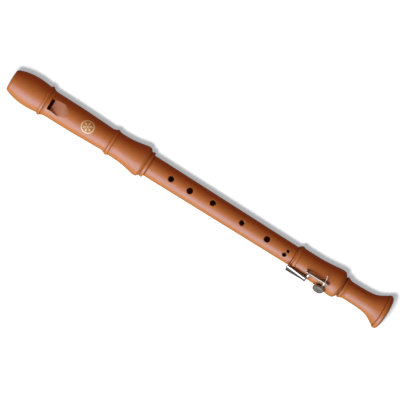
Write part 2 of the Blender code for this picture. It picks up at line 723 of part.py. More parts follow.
def spring_route():
    """From the lower post, down past the tube's side, to the catch under the tube."""
    down = Vector((0.0, math.cos(SPRING_CATCH_SLOPE), -math.sin(SPRING_CATCH_SLOPE)))
    beside = Vector((0.0, math.sin(SPRING_CATCH_SLOPE), math.cos(SPRING_CATCH_SLOPE)))
    rest = SPRING_CATCH_THICKNESS / 2 + CLEARANCE + SPRING_RADIUS
    on_catch = HINGE + down * (SPRING_CATCH_REACH - SPRING_RADIUS * 2) + beside * rest
    side = Vector((0.0, math.cos(SPRING_SIDE_SLOPE), -math.sin(SPRING_SIDE_SLOPE)))
    by_tube = HINGE + side * (TUBE_RADIUS + CLEARANCE * 2 + SPRING_RADIUS)
    in_post = HINGE + side * SPRING_DEPTH_IN_POST
    x_catch = FOOT_X + SPRING_CATCH_AT
    x_post = FOOT_X + LOWER_POST_AT
    return [
        at_station(x_post, in_post),
        at_station(x_post - SPRING_BEND_FROM_POST, by_tube),
        at_station((x_post + x_catch) / 2, (by_tube + on_catch) / 2),
        at_station(x_catch - SPRING_CATCH_WIDTH, on_catch),
    ]


def make_posts(shop, metal):
    rod_hole = cylinder_mesh("rod_hole", PIVOT_ROD_RADIUS + CLEARANCE,
                             at_station(FOOT_X, HINGE), at_station(FOOT_X + FAR * 2, HINGE), 16)
    rod_hole = shop.cutter(rod_hole, "rod_hole")
    route = spring_route()
    way = (route[1] - route[0]).normalized()
    needle_hole = cylinder_mesh("needle_hole", SPRING_RADIUS + CLEARANCE, route[0] - way * SPRING_RADIUS * 2,
                                route[0] + way * POST_BALL_RADIUS * 2, 8)
    needle_hole = shop.cutter(needle_hole, "needle_hole")
    for name, station in (("upper_key_post", UPPER_POST_AT), ("lower_key_post", LOWER_POST_AT)):
        post = shop.part(solid_of_revolution(name, post_outline(station), 16), name, metal)
        post.matrix_world = post_matrix(station)
        shop.cut(post, rod_hole)
        if name == "lower_key_post":
            shop.cut(post, needle_hole)


def make_pivot_rod(shop, steel):
    start = at_station(FOOT_X + UPPER_POST_AT - POST_BALL_RADIUS - PIVOT_ROD_PROUD, HINGE)
    end = at_station(FOOT_X + LOWER_POST_AT + POST_BALL_RADIUS + PIVOT_ROD_PROUD, HINGE)
    rod = shop.part(cylinder_mesh("pivot_rod", PIVOT_ROD_RADIUS, start, end, 16), "pivot_rod", steel)
    half = Vector((PIVOT_ROD_PROUD * 0.6, PIVOT_ROD_RADIUS * 2, SCREW_SLOT_WIDTH / 2))
    slot = box_mesh("screw_slot", start - half, start + half)
    shop.cut(rod, shop.cutter(slot, "screw_slot"))
    return rod


def make_hinge_tube(shop, metal, key):
    start = FOOT_X + UPPER_POST_AT + POST_BALL_RADIUS + CLEARANCE
    end = FOOT_X + LOWER_POST_AT - POST_BALL_RADIUS - CLEARANCE
    bore = PIVOT_ROD_RADIUS + CLEARANCE
    outline = [(0.0, TUBE_RADIUS), (end - start, TUBE_RADIUS), (end - start, bore), (0.0, bore)]
    tube = shop.part(profile_mesh("hinge_tube", outline), "hinge_tube", metal)
    tube.location = at_station(start, HINGE)
    tube.rotation_euler = (0.0, math.pi / 2, 0.0)
    add_screw(tube, 20)
    catch = box_mesh("spring_catch",
                     Vector((-SPRING_CATCH_WIDTH / 2, (bore + TUBE_RADIUS) / 2, -SPRING_CATCH_THICKNESS / 2)),
                     Vector((SPRING_CATCH_WIDTH / 2, SPRING_CATCH_REACH, SPRING_CATCH_THICKNESS / 2)))
    catch = shop.cutter(catch, "spring_catch")
    catch.location = at_station(FOOT_X + SPRING_CATCH_AT, HINGE)
    catch.rotation_euler = (-SPRING_CATCH_SLOPE, 0.0, 0.0)
    shop.join(tube, catch)
    shop.ride(tube, key)
    return tube


def touch_plate_point(turn, depth):
    """Point of the touch plate's curved section: turn from its middle, depth below its outer face."""
    middle = radial(TOUCH_PLATE_ANGLE, TOUCH_PLATE_RADIUS_FROM_AXIS)
    outward = radial(TOUCH_PLATE_FACING, 1.0) - radial(TOUCH_PLATE_FACING, 0.0)
    centre = middle - outward * TOUCH_PLATE_CURVE
    facing = Matrix.Rotation(turn, 3, "X") @ outward
    return centre + facing * (TOUCH_PLATE_CURVE - depth)


def make_touch_plate(shop, metal, key):
    """Curved spatula along the foot; its mouthpiece end is rounded and turned down a little."""
    arc_steps = 6
    end_x = FOOT_X + TOUCH_ARM_AT - TOUCH_ARM_WIDTH / 2 - CLEARANCE
    start_x = FOOT_X + TOUCH_PLATE_START
    length = end_x - start_x
    half_width = TOUCH_PLATE_CURVE * TOUCH_PLATE_HALF_ARC
    sections = []
    for share in TOUCH_PLATE_SHARES:
        from_end = share * length
        narrow = 1.0
        if from_end < half_width:
            narrow = max(math.sqrt(1.0 - (1.0 - from_end / half_width) ** 2), TOUCH_PLATE_BLUNT_END)
        dip = TOUCH_PLATE_DIP * max(0.0, 1.0 - share / TOUCH_PLATE_DIP_SHARE) ** 2
        outer = []
        inner = []
        for step in range(arc_steps + 1):
            turn = TOUCH_PLATE_HALF_ARC * narrow * (2.0 * step / arc_steps - 1.0)
            outer.append(at_station(start_x + from_end, touch_plate_point(turn, dip)))
            inner.append(at_station(start_x + from_end, touch_plate_point(turn, dip + TOUCH_PLATE_THICKNESS)))
        sections.append(outer + inner[::-1])
    plate = shop.part(loft_mesh("touch_plate", sections), "touch_plate", metal)
    shop.ride(plate, key)
    return plate


def make_touch_arm(shop, metal, key):
    """Strap from the tube, round the foot, along the end of the touch plate."""
    x = FOOT_X + TOUCH_ARM_AT
    out = TUBE_RADIUS + CLEARANCE + TOUCH_ARM_THICKNESS / 4
    middle_depth = TOUCH_PLATE_THICKNESS / 2
    stations = [
        at_station(x, HINGE + Vector((0.0, -out, -TOUCH_ARM_DROP[0]))),
        at_station(x, HINGE + Vector((0.0, -out - TOUCH_ARM_RUN, -TOUCH_ARM_DROP[1]))),
    ]
    for share in TOUCH_ARM_SHARES:
        stations.append(at_station(x, touch_plate_point(TOUCH_PLATE_HALF_ARC * share, middle_depth)))
    mesh = strap_mesh("touch_arm", [(point, TOUCH_ARM_WIDTH) for point in stations], TOUCH_ARM_THICKNESS)
    arm = shop.part(mesh, "touch_arm", metal)
    shop.ride(arm, key)
    return arm


def cup_matrix():
    """Local Z points out along the open cup's axis, from the bore axis."""
    over_hole = Matrix.Translation((FOOT_X + KEY_HOLE_AT, 0.0, AXIS_HEIGHT))
    closed = over_hole @ Matrix.Rotation(KEY_HOLE_ANGLE, 4, "X")
    pivot = Matrix.Translation((0.0, HINGE.y, HINGE.z))
    return pivot @ Matrix.Rotation(-KEY_OPEN_ANGLE, 4, "X") @ pivot.inverted() @ closed


def cup_sizes():
    """Heights above the bore axis of the closed pad's faces and the cup's rim, plate and dome."""
    pad_low = SEAT_RADIUS_FROM_AXIS + CLEARANCE
    pad_high = pad_low + PAD_THICKNESS
    rim = pad_low + CUP_RIM_LIFT
    floor = pad_high + CLEARANCE
    plate = floor + CUP_WALL
    return pad_low, pad_high, rim, floor, plate, plate + CUP_DOME


def make_pad_and_cup(shop, metal, leather, key):
    pad_low, pad_high, rim, floor, plate, dome = cup_sizes()
    pad_outline = [
        (pad_low, 0.0),
        (pad_low, PAD_RADIUS - PAD_ROUNDING),
        (pad_low + PAD_ROUNDING, PAD_RADIUS),
        (pad_high, PAD_RADIUS),
        (pad_high, 0.0),
    ]
    pad = shop.part(solid_of_revolution("key_pad", pad_outline, 28), "key_pad", leather)
    inner = PAD_RADIUS + CLEARANCE
    cup_outline = [
        (floor, 0.0),
        (floor, inner),
        (rim, inner),
        (rim, CUP_RADIUS),
        (floor, CUP_RADIUS),
        (plate, CUP_RADIUS - CUP_WALL),
        (dome, CUP_DOME_RADIUS),
        (dome, 0.0),
    ]
    cup = shop.part(solid_of_revolution("pad_cup", cup_outline, 28), "pad_cup", metal)
    for thing in (pad, cup):
        thing.matrix_world = cup_matrix()
        shop.ride(thing, key)


def make_cup_arm(shop, metal, key):
    """Strap from the tube that widens over the cup's dome."""
    x = FOOT_X + CUP_ARM_AT
    dome = cup_sizes()[5]
    above = dome + CLEARANCE + ARM_THICKNESS / 2
    frame = cup_matrix()
    uphill = frame.to_3x3() @ Vector((0.0, 1.0, 0.0))
    top = frame @ Vector((0.0, 0.0, above))
    out = TUBE_RADIUS + CLEARANCE + ARM_THICKNESS / 4
    centre_x = FOOT_X + KEY_HOLE_AT
    stations = [
        (at_station(x, HINGE + Vector((0.0, -out, CLEARANCE))), CUP_ARM_WIDTH),
        (at_station(x, HINGE + Vector((0.0, -out - CUP_ARM_RUN, 0.0))), CUP_ARM_WIDTH),
        (at_station(x, top + uphill * CUP_RADIUS * 1.05), CUP_ARM_WIDTH * 1.15),
        (at_station((x + centre_x) / 2, top + uphill * CUP_RADIUS * 0.55), CUP_ARM_END_WIDTH * 0.6),
        (at_station(centre_x, top + uphill * CUP_RADIUS * 0.1), CUP_ARM_END_WIDTH),
        (at_station(centre_x, top - uphill * CUP_RADIUS * 0.2), CUP_ARM_END_WIDTH * 0.6),
    ]
    arm = shop.part(strap_mesh("cup_arm", stations, ARM_THICKNESS), "cup_arm", metal)
    shop.ride(arm, key)
    return arm


def make_heel(shop, metal, cork, key):
    """Tail over the front of the foot; its cork rests on the wood while the key is open."""
    x = FOOT_X + CUP_ARM_AT
    tip_x = x - HEEL_TIP_SHIFT
    wood_radius = foot_radius(CUP_ARM_AT)
    cork_low = wood_radius + CLEARANCE
    cork_high = cork_low + HEEL_CORK_THICKNESS
    centre_radius = cork_high + CLEARANCE + HEEL_THICKNESS / 2
    out = TUBE_RADIUS + CLEARANCE + HEEL_THICKNESS / 4
    start = HINGE + Vector((0.0, out, CLEARANCE))
    tip_angle = -math.asin(HEEL_TIP_SIDE / centre_radius)
    start_angle = math.atan2(-start.y, start.z - AXIS_HEIGHT)
    stations = [(at_station(x, start), HEEL_WIDTH)]
    steps = 4
    for step in range(1, steps + 1):
        share = step / steps
        angle = start_angle + (tip_angle - start_angle) * share
        point = radial(angle, centre_radius)
        stations.append((at_station(x - HEEL_TIP_SHIFT * share ** 2, point), HEEL_WIDTH))
    heel = shop.part(strap_mesh("heel_arm", stations, HEEL_THICKNESS), "heel_arm", metal)
    cork_angle = tip_angle + math.asin(HEEL_CORK_RADIUS / centre_radius)
    low = at_station(tip_x, radial(cork_angle, cork_low))
    high = at_station(tip_x, radial(cork_angle, cork_high))
    bumper = shop.part(cylinder_mesh("heel_cork", HEEL_CORK_RADIUS, low, high, 16), "heel_cork", cork)
    for thing in (heel, bumper):
        shop.ride(thing, key)


def make_spring(shop, steel):
    """Needle spring as a wire through the points of its route."""
    route = spring_route()
    data = bpy.data.curves.new("key_spring", "CURVE")
    data.dimensions = "3D"
    data.bevel_depth = SPRING_RADIUS
    data.bevel_resolution = 1
    data.use_fill_caps = True
    line = data.splines.new("POLY")
    line.points.add(len(route) - 1)
    for point, place in zip(line.points, route):
        point.co = (*place, 1.0)
    data.materials.append(steel)
    spring = bpy.data.objects.new("key_spring", data)
    shop.parts.objects.link(spring)
    return spring


def build():
    start_clean()
    shop = Workshop()
    pearwood = make_material("pearwood", (0.36, 0.11, 0.035), 0.42)
    cedar = make_material("cedar", (0.45, 0.22, 0.11), 0.6)
    cork = make_material("cork", (0.55, 0.36, 0.19), 0.85)
    nickel_silver = make_material("nickel_silver", (0.62, 0.60, 0.57), 0.25, 1.0)
    steel = make_material("steel", (0.45, 0.45, 0.47), 0.3, 1.0)
    leather = make_material("pad_leather", (0.75, 0.68, 0.55), 0.7)
    beak_cut = make_beak_cutter(shop)
    make_head(shop, pearwood, beak_cut)
    make_block(shop, cedar, beak_cut)
    make_middle(shop, pearwood)
    make_tenon_cork(shop, "upper_tenon_cork", cork, -UPPER_TENON_LENGTH, 0.0, UPPER_TENON_RADIUS)
    make_tenon_cork(shop, "lower_tenon_cork", cork, MIDDLE_LENGTH, MIDDLE_LENGTH + LOWER_TENON_LENGTH,
                    LOWER_TENON_RADIUS)
    make_foot(shop, pearwood)
    make_posts(shop, nickel_silver)
    make_pivot_rod(shop, steel)
    key = bpy.data.objects.new("key_axis", None)
    key.location = at_station(FOOT_X + CUP_ARM_AT, HINGE)
    shop.parts.objects.link(key)
    make_hinge_tube(shop, nickel_silver, key)
    make_touch_plate(shop, nickel_silver, key)
    make_touch_arm(shop, nickel_silver, key)
    make_pad_and_cup(shop, nickel_silver, leather, key)
    make_cup_arm(shop, nickel_silver, key)
    make_heel(shop, nickel_silver, cork, key)
    make_spring(shop, steel)


build()
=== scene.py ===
"""Looks of the tenor recorder: finish, fine turning, lights, floor and camera.

Stations are millimetres from the mouthpiece's tip, and radii are millimetres from the
bore's axis.  Angles round the bore are degrees from the front toward the key's side.
"""

import math

import bmesh
import bpy
import numpy as np
from mathutils import Matrix, Vector


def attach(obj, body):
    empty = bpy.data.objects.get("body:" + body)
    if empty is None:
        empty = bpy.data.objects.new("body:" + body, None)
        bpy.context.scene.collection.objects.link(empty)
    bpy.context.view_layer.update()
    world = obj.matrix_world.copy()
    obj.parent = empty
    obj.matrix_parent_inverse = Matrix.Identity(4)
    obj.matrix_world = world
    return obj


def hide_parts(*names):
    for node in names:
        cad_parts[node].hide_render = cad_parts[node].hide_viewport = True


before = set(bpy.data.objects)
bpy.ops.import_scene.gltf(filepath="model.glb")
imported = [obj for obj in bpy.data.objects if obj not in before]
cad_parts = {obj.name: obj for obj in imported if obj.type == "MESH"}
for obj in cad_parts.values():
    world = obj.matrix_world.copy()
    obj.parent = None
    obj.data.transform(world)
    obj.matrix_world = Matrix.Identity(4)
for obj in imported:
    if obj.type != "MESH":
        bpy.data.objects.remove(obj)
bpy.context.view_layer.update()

# The mouthpiece's tip and the bore's axis in the frame, in metres
TIP_X = -0.320
AXIS_Z = 0.0272
MM = 0.001
CLEARANCE = 0.3
ALONG = Vector((1.0, 0.0, 0.0))

# How far the cutting tools reach, well past the wood
OUTSIDE = 60.0

# Stations of the joints and of the key
HEAD_END = 233.5
MIDDLE_START = 233.8
MIDDLE_END = 481.3
FOOT_START = 481.6
FOOT_END = 640.0
UPPER_POST = FOOT_START + 28.0
TOUCH_ARM = FOOT_START + 31.3
SPRING_CATCH = FOOT_START + 39.4
PAD_AT = FOOT_START + 55.3
CUP_ARM = FOOT_START + 57.3
LOWER_POST = FOOT_START + 61.3

# Radii of tenons, sockets, bores and the key's hinge tube
UPPER_TENON = 13.85
UPPER_SOCKET = 14.3
LOWER_TENON = 11.8
LOWER_SOCKET = 12.25
HEAD_BORE = 12.2
MIDDLE_BORE_WIDE = 11.0
MIDDLE_BORE_NARROW = 8.0
FOOT_BORE_WIDE = 7.9
FOOT_BORE_NARROW = 7.2
TUBE = 2.1

# Tenons and the middle joint's outside
UPPER_TENON_LENGTH = 32.0
LOWER_TENON_LENGTH = 26.0
TENON_EDGE = 0.5
CORK_FROM_ENDS = 4.5
CORK_DEPTH = 0.9
MIDDLE_WIDE = 16.88
MIDDLE_NARROW = 15.15

# Places round the bore of the key's hinge and its pad, and how far the key stands open
HINGE_ANGLE = 22.4
HINGE_RADIUS = 23.2
KEY_OPEN = math.radians(13.5)
PAD_ANGLE = 71.0


# Shader nodes

UNMOVED = (0.0, 0.0, 0.0)


class Nodes:
    """Short hand for the shader nodes of a material or of the world."""

    def __init__(self, name, kind="materials"):
        self.owner = getattr(bpy.data, kind).new(name)
        self.owner.use_nodes = True
        self.tree = self.owner.node_tree
        self.shader = self.tree.nodes.get("Principled BSDF")

    def fill(self, socket, value):
        """Links a socket to another node's output, or sets its value."""
        if isinstance(value, bpy.types.NodeSocket):
            self.tree.links.new(value, socket)
        else:
            socket.default_value = value

    def node(self, kind, **inputs):
        node = self.tree.nodes.new(kind)
        for key, value in inputs.items():
            self.fill(node.inputs[key.replace("_", " ")], value)
        return node

    def place(self, scale, shift, turn):
        """Object coordinates, scaled per metre: along the bore, across it and up."""
        spot = self.node("ShaderNodeTexCoord")
        mapping = self.node("ShaderNodeMapping", Vector=spot.outputs["Object"], Location=shift,
                            Rotation=turn, Scale=scale)
        return mapping.outputs[0]

    def noise(self, scale, shift=UNMOVED, turn=UNMOVED, detail=3.0, roughness=0.55, distortion=0.0):
        node = self.node("ShaderNodeTexNoise", Vector=self.place(scale, shift, turn), Scale=1.0,
                         Detail=detail, Roughness=roughness, Distortion=distortion)
        return node.outputs["Fac"]

    def cells(self, scale):
        vector = self.place((scale, scale, scale), UNMOVED, UNMOVED)
        return self.node("ShaderNodeTexVoronoi", Vector=vector, Scale=1.0).outputs["Distance"]

    def ramp(self, value, stops):
        node = self.node("ShaderNodeValToRGB", Fac=value)
        band = node.color_ramp
        while len(band.elements) < len(stops):
            band.elements.new(0.5)
        for element, (at, colour) in zip(band.elements, stops):
            element.position = at
            element.color = (*colour, 1.0)
        return node.outputs["Color"]

    def spread(self, value, to_low=0.0, to_high=1.0, low=0.3, high=0.7):
        """Stretches a value to a new range; noise lies mostly between 0.3 and 0.7."""
        node = self.node("ShaderNodeMapRange", Value=value, From_Min=low, From_Max=high,
                         To_Min=to_low, To_Max=to_high)
        return node.outputs["Result"]

    def mix(self, kind, factor, first, second):
        """Blend of two colours, which are triples or the outputs of other nodes."""
        node = self.node("ShaderNodeMix")
        node.data_type = "RGBA"
        node.blend_type = kind
        self.fill(node.inputs[0], factor)
        for socket, colour in ((node.inputs[6], first), (node.inputs[7], second)):
            self.fill(socket, (*colour, 1.0) if isinstance(colour, tuple) else colour)
        return node.outputs[2]

    def math(self, operation, first, second):
        node = self.node("ShaderNodeMath")
        node.operation = operation
        self.fill(node.inputs[0], first)
        self.fill(node.inputs[1], second)
        return node.outputs[0]

    def bump(self, height, strength, distance):
        node = self.node("ShaderNodeBump", Height=height, Strength=strength, Distance=distance)
        self.fill(self.shader.inputs["Normal"], node.outputs["Normal"])

    def set(self, **values):
        for key, value in values.items():
            self.fill(self.shader.inputs[key.replace("_", " ")], value)


# Camera and light

SENSOR_WIDTH = 36.0
PICTURE_PIXELS = 400.0
FOCAL_PIXELS = 1990.0
CAMERA_DISTANCE = 2.891
CAMERA_TILT = math.radians(2.94)
PICTURE_TURN = math.radians(32.1)
PICTURE_CENTRE = Vector((0.0030, -0.0032, AXIS_Z))
SOFTBOX_LENGTH = 2.4
SOFTBOX_CENTRE = Vector((-0.34, 0.0, AXIS_Z))
SOFTBOX_DISTANCE = 1.3
SHADOW_LAMP_PLACE = Vector((-0.184, -0.534, 2.14))
SHADOW_LAMP_SIZE = 0.454
SHADOW_LAMP_POWER = 44.0

# How much of the white background shows in reflections
FLOOR_IN_GLOSS = 0.012
WORLD_IN_GLOSS = 0.01

# The floor glows less near its middle, where the shadow lies: its glow, and how far out
GLOW_NEAR, NEAR_REACH = 0.42, 0.45
GLOW_FAR, FAR_REACH = 1.0, 1.2


def add_object(name, data):
    """New object in the scene."""
    thing = bpy.data.objects.new(name, data)
    bpy.context.scene.collection.objects.link(thing)
    return thing


def make_camera():
    """Looks down on the recorder's front, with its mouthpiece at the upper left."""
    data = bpy.data.cameras.new("camera")
    data.sensor_width = SENSOR_WIDTH
    data.lens = SENSOR_WIDTH * FOCAL_PIXELS / PICTURE_PIXELS
    data.clip_end = 30.0
    camera = add_object("camera", data)
    away = Vector((-math.sin(CAMERA_TILT), 0.0, math.cos(CAMERA_TILT)))
    rotation = Matrix.Rotation(-CAMERA_TILT, 4, "Y") @ Matrix.Rotation(PICTURE_TURN, 4, "Z")
    camera.matrix_world = Matrix.Translation(PICTURE_CENTRE + away * CAMERA_DISTANCE) @ rotation
    bpy.context.scene.camera = camera


def new_lamp(name, shape, size, power):
    """Area lamp that the camera doesn't see."""
    data = bpy.data.lights.new(name, "AREA")
    data.shape = shape
    data.size = size
    data.energy = power
    lamp = add_object(name, data)
    lamp.visible_camera = False
    return lamp


def facing(place, right, back):
    """Matrix of a lamp that shines away from back, with its length along right."""
    return Matrix.Translation(place) @ Matrix((right, back.cross(right), back)).transposed().to_4x4()


def soft_lamp(name, degrees, width, colour, power):
    """Long softbox beside the recorder, degrees from straight above toward the key's side."""
    lamp = new_lamp(name, "RECTANGLE", SOFTBOX_LENGTH, power)
    lamp.data.size_y = width
    lamp.data.color = colour
    angle = math.radians(degrees)
    back = Vector((0.0, -math.sin(angle), math.cos(angle)))
    lamp.matrix_world = facing(SOFTBOX_CENTRE + back * SOFTBOX_DISTANCE, ALONG, back)
    return lamp


def shown_as(nodes, in_gloss, dim, bright):
    """Bright to the camera, and through glass; reflections see a share of it, and all else the dim."""
    mix = nodes.node("ShaderNodeMixShader")
    path = nodes.node("ShaderNodeLightPath").outputs
    gloss = nodes.math("MULTIPLY", path["Is Glossy Ray"], in_gloss)
    seen = nodes.math("MAXIMUM", path["Is Camera Ray"], path["Is Transmission Ray"])
    nodes.fill(mix.inputs[0], nodes.math("MAXIMUM", seen, gloss))
    nodes.fill(mix.inputs[1], dim.outputs[0])
    nodes.fill(mix.inputs[2], bright.outputs[0])
    return mix.outputs[0]


def floor_material():
    """White paper that keeps the shadow, and that reflections see as nearly dark."""
    floor = Nodes("pale_floor")
    floor.tree.nodes.clear()
    out = floor.node("ShaderNodeOutputMaterial")
    paper = floor.node("ShaderNodeBsdfDiffuse", Color=(0.9, 0.9, 0.9, 1.0))
    dim = floor.node("ShaderNodeBsdfDiffuse", Color=(0.08, 0.06, 0.045, 1.0))
    spot = floor.node("ShaderNodeTexCoord")
    flat = floor.node("ShaderNodeVectorMath")
    flat.operation = "LENGTH"
    floor.fill(flat.inputs[0], spot.outputs["Object"])
    reach = floor.spread(flat.outputs["Value"], GLOW_NEAR, GLOW_FAR, NEAR_REACH, FAR_REACH)
    glow = floor.node("ShaderNodeEmission", Color=(0.955, 0.99, 1.035, 1.0), Strength=reach)
    lit = floor.node("ShaderNodeAddShader")
    floor.fill(lit.inputs[0], paper.outputs[0])
    floor.fill(lit.inputs[1], glow.outputs[0])
    floor.fill(out.inputs["Surface"], shown_as(floor, FLOOR_IN_GLOSS, dim, lit))
    return floor.owner


def make_floor():
    shape = bmesh.new()
    bmesh.ops.create_grid(shape, x_segments=8, y_segments=8, size=6.0)
    mesh = bpy.data.meshes.new("floor")
    shape.to_mesh(mesh)
    shape.free()
    floor = add_object("floor", mesh)
    mesh.materials.append(floor_material())
    return floor


def make_world():
    """White to the camera, and a faint warm room to everything else."""
    world = Nodes("studio", "worlds")
    world.tree.nodes.clear()
    out = world.node("ShaderNodeOutputWorld")
    room = world.node("ShaderNodeBackground", Color=(1.0, 0.70, 0.45, 1.0), Strength=0.03)
    white = world.node("ShaderNodeBackground", Color=(1.0, 1.0, 1.0, 1.0), Strength=1.0)
    world.fill(out.inputs["Surface"], shown_as(world, WORLD_IN_GLOSS, room, white))
    bpy.context.scene.world = world.owner


def make_lights(floor):
    """Two softboxes light the recorder alone, and a lamp above throws its shadow on the floor."""
    key = soft_lamp("key_light", degrees=62.0, width=1.25, colour=(0.955, 1.0, 1.01), power=29.8)
    fill = soft_lamp("warm_fill", degrees=-26.0, width=2.0, colour=(1.0, 0.32, 0.09), power=8.3)
    fill.visible_glossy = False
    off_floor = bpy.data.collections.new("off_floor")
    off_floor.objects.link(floor)
    off_floor.collection_objects[0].light_linking.link_state = "EXCLUDE"
    for lamp in (key, fill):
        lamp.light_linking.receiver_collection = off_floor
    above = new_lamp("shadow_light", "DISK", SHADOW_LAMP_SIZE, SHADOW_LAMP_POWER)
    back = SHADOW_LAMP_PLACE.normalized()
    right = ALONG.cross(back).normalized()
    above.matrix_world = facing(SHADOW_LAMP_PLACE, right, back)
    above.visible_glossy = False
    only_floor = bpy.data.collections.new("only_floor")
    only_floor.objects.link(floor)
    above.light_linking.receiver_collection = only_floor


# Materials

def turned_wood(name, light, dark, shift, roughness, specular, tint=(1.0, 1.0, 1.0), figure=0.5,
                bump=0.12):
    """Fine straight grained wood that runs along the bore."""
    wood = Nodes(name)
    broad = wood.noise((5.0, 150.0, 95.0), shift, (0.0, 0.0, 0.35), detail=2.0, roughness=0.5,
                       distortion=0.6)
    streaks = wood.noise((26.0, 900.0, 900.0), shift, detail=4.0, roughness=0.6)
    cloud = wood.noise((14.0, 60.0, 60.0), shift, detail=2.0)
    pores = wood.noise((420.0, 5200.0, 5200.0), shift, detail=1.0)
    tone = wood.mix("MIX", 0.45, wood.spread(broad), wood.spread(streaks))
    tone = wood.mix("MIX", 0.3, tone, wood.spread(cloud))
    blend = wood.spread(tone, 0.5 - figure / 2, 0.5 + figure / 2, 0.0, 1.0)
    colour = wood.mix("MIX", blend, dark, light)
    speck = wood.ramp(pores, [(0.30, (0.65, 0.65, 0.65)), (0.42, (1.0, 1.0, 1.0))])
    colour = wood.mix("MULTIPLY", 1.0, colour, speck)
    wood.set(Base_Color=colour, Roughness=wood.spread(streaks, roughness - 0.05, roughness + 0.05),
             Specular_IOR_Level=specular, IOR=1.56, Specular_Tint=(*tint, 1.0))
    wood.bump(wood.math("ADD", streaks, wood.math("MULTIPLY", pores, 0.5)), bump, 0.0002)
    return wood.owner


def bright_metal(name, colour, roughness, metallic=1.0):
    """Hand polished plating with faint wipe marks and a little tarnish."""
    metal = Nodes(name)
    wipe = metal.noise((300.0, 2600.0, 2600.0))
    haze = metal.noise((240.0, 240.0, 240.0))
    dull = tuple(channel * 0.88 for channel in colour)
    metal.set(Base_Color=metal.mix("MIX", metal.spread(haze, low=0.35), colour, dull), Metallic=metallic,
              Roughness=metal.spread(wipe, roughness - 0.04, roughness + 0.04))
    metal.bump(wipe, 0.02, 0.00002)
    return metal.owner


def shaded_bore_wood(name):
    """Inside of the bore and the holes: oiled wood, painted nearly black as the shade deep inside them."""
    wood = Nodes(name)
    rings = wood.noise((1400.0, 120.0, 120.0), detail=2.0)
    colour = wood.mix("MIX", wood.spread(rings), (0.014, 0.005, 0.002), (0.026, 0.008, 0.003))
    wood.set(Base_Color=colour, Roughness=0.7, Specular_IOR_Level=0.1)
    wood.bump(rings, 0.1, 0.0002)
    return wood.owner


def cork_stuff(name):
    cork = Nodes(name)
    cells = cork.cells(900.0)
    lumps = cork.noise((350.0, 350.0, 350.0), detail=4.0)
    colour = cork.ramp(lumps, [(0.3, (0.20, 0.09, 0.035)), (0.45, (0.50, 0.29, 0.13)),
                               (0.7, (0.62, 0.40, 0.20))])
    cork.set(Base_Color=colour, Roughness=cork.spread(lumps, 0.75, 0.95))
    cork.bump(cells, 0.35, 0.0004)
    return cork.owner


def leather_stuff(name):
    hide = Nodes(name)
    cells = hide.cells(1800.0)
    cloud = hide.noise((160.0, 160.0, 160.0))
    colour = hide.mix("MIX", hide.spread(cloud), (0.62, 0.52, 0.38), (0.78, 0.70, 0.56))
    hide.set(Base_Color=colour, Roughness=hide.spread(cloud, 0.6, 0.75))
    hide.bump(cells, 0.15, 0.0002)
    return hide.owner


def gilt_stuff(name):
    """Gold leaf that is worn through to a browner ground in places."""
    gilt = Nodes(name)
    worn = gilt.noise((500.0, 900.0, 900.0), detail=4.0, roughness=0.65)
    colour = gilt.ramp(worn, [(0.34, (0.70, 0.46, 0.22)), (0.44, (0.88, 0.78, 0.45)),
                              (0.7, (0.93, 0.87, 0.60))])
    gilt.set(Base_Color=colour, Roughness=gilt.spread(worn, 0.4, 0.6))
    gilt.bump(worn, 0.1, 0.0001)
    return gilt.owner


def make_finishes():
    """Every finish by a short name."""
    oil_tint = (0.20, 0.60, 1.0)
    light, dark = (0.725, 0.262, 0.060), (0.635, 0.218, 0.046)
    shifts = {"head": (0.31, 0.0, 0.4), "middle": (0.77, 1.3, 0.1), "foot": (1.63, 2.2, 0.9)}
    finish = {}
    for joint, shift in shifts.items():
        finish[joint] = turned_wood(f"pearwood_{joint}", light, dark, shift, 0.43, 1.0, oil_tint)
    # Darker wood for the turned grooves, the joint gaps and the ring round the key's seat: painted shade,
    # where these hollows fall into shadow
    finish["painted_shade"] = turned_wood("painted_shade_wood", (0.44, 0.122, 0.023), (0.35, 0.092, 0.017),
                                  (0.4, 0.2, 0.5), 0.5, 0.4, oil_tint)
    finish["raw"] = turned_wood("raw_pearwood", (0.65, 0.335, 0.215), (0.555, 0.26, 0.16),
                                (0.1, 0.6, 0.2), 0.7, 0.25, figure=0.7, bump=0.3)
    finish["cedar"] = turned_wood("cedar", (0.62, 0.33, 0.18), (0.42, 0.18, 0.08),
                                  (2.1, 0.4, 0.7), 0.75, 0.25, figure=1.0, bump=0.4)
    finish["lit_wall"] = turned_wood("hole_wall", (0.66, 0.27, 0.09), (0.52, 0.19, 0.055),
                                     (0.6, 0.1, 0.3), 0.7, 0.1, figure=0.7)
    # Nearly black inside the bore, the holes and the window: painted shade over the oiled wood's own tone
    finish["bore"] = shaded_bore_wood("shaded_bore_wood")
    finish["plated"] = bright_metal("nickel_silver", (0.52, 0.49, 0.45), 0.2, 0.72)
    finish["polished"] = bright_metal("polished_nickel_silver", (0.60, 0.59, 0.58), 0.2, 0.93)
    # A darker, rougher copy of the nickel silver for the cup arm past its bend: painted shade
    finish["satin"] = bright_metal("satin_nickel_silver", (0.25, 0.235, 0.215), 0.42, 0.35)
    # A near-white, mostly matt copy of the nickel silver for the heel: painted sheen
    finish["brushed"] = bright_metal("brushed_nickel_silver", (0.93, 0.97, 1.0), 0.5, 0.12)
    finish["steel"] = bright_metal("steel", (0.36, 0.36, 0.38), 0.28)
    finish["cork"] = cork_stuff("cork")
    finish["leather"] = leather_stuff("pad_leather")
    finish["gilt"] = gilt_stuff("worn_gilt")
    return finish


# Mesh building

SPIN_STEPS = 112
BEAD_STEPS = 12
CURVE_STEPS = 5
LONGEST_RUN = 6.0
HIGHEST_STEP = 1.2
POINTS_APART = 0.02
SHARP_ANGLE = 32.0
STRAP_CORNER = 0.42
# Only faces further from the axis than this take the painted shade of the grooves
SHADE_FROM_RADIUS = 12.6


def taper(start, end, share):
    return start + (end - start) * share


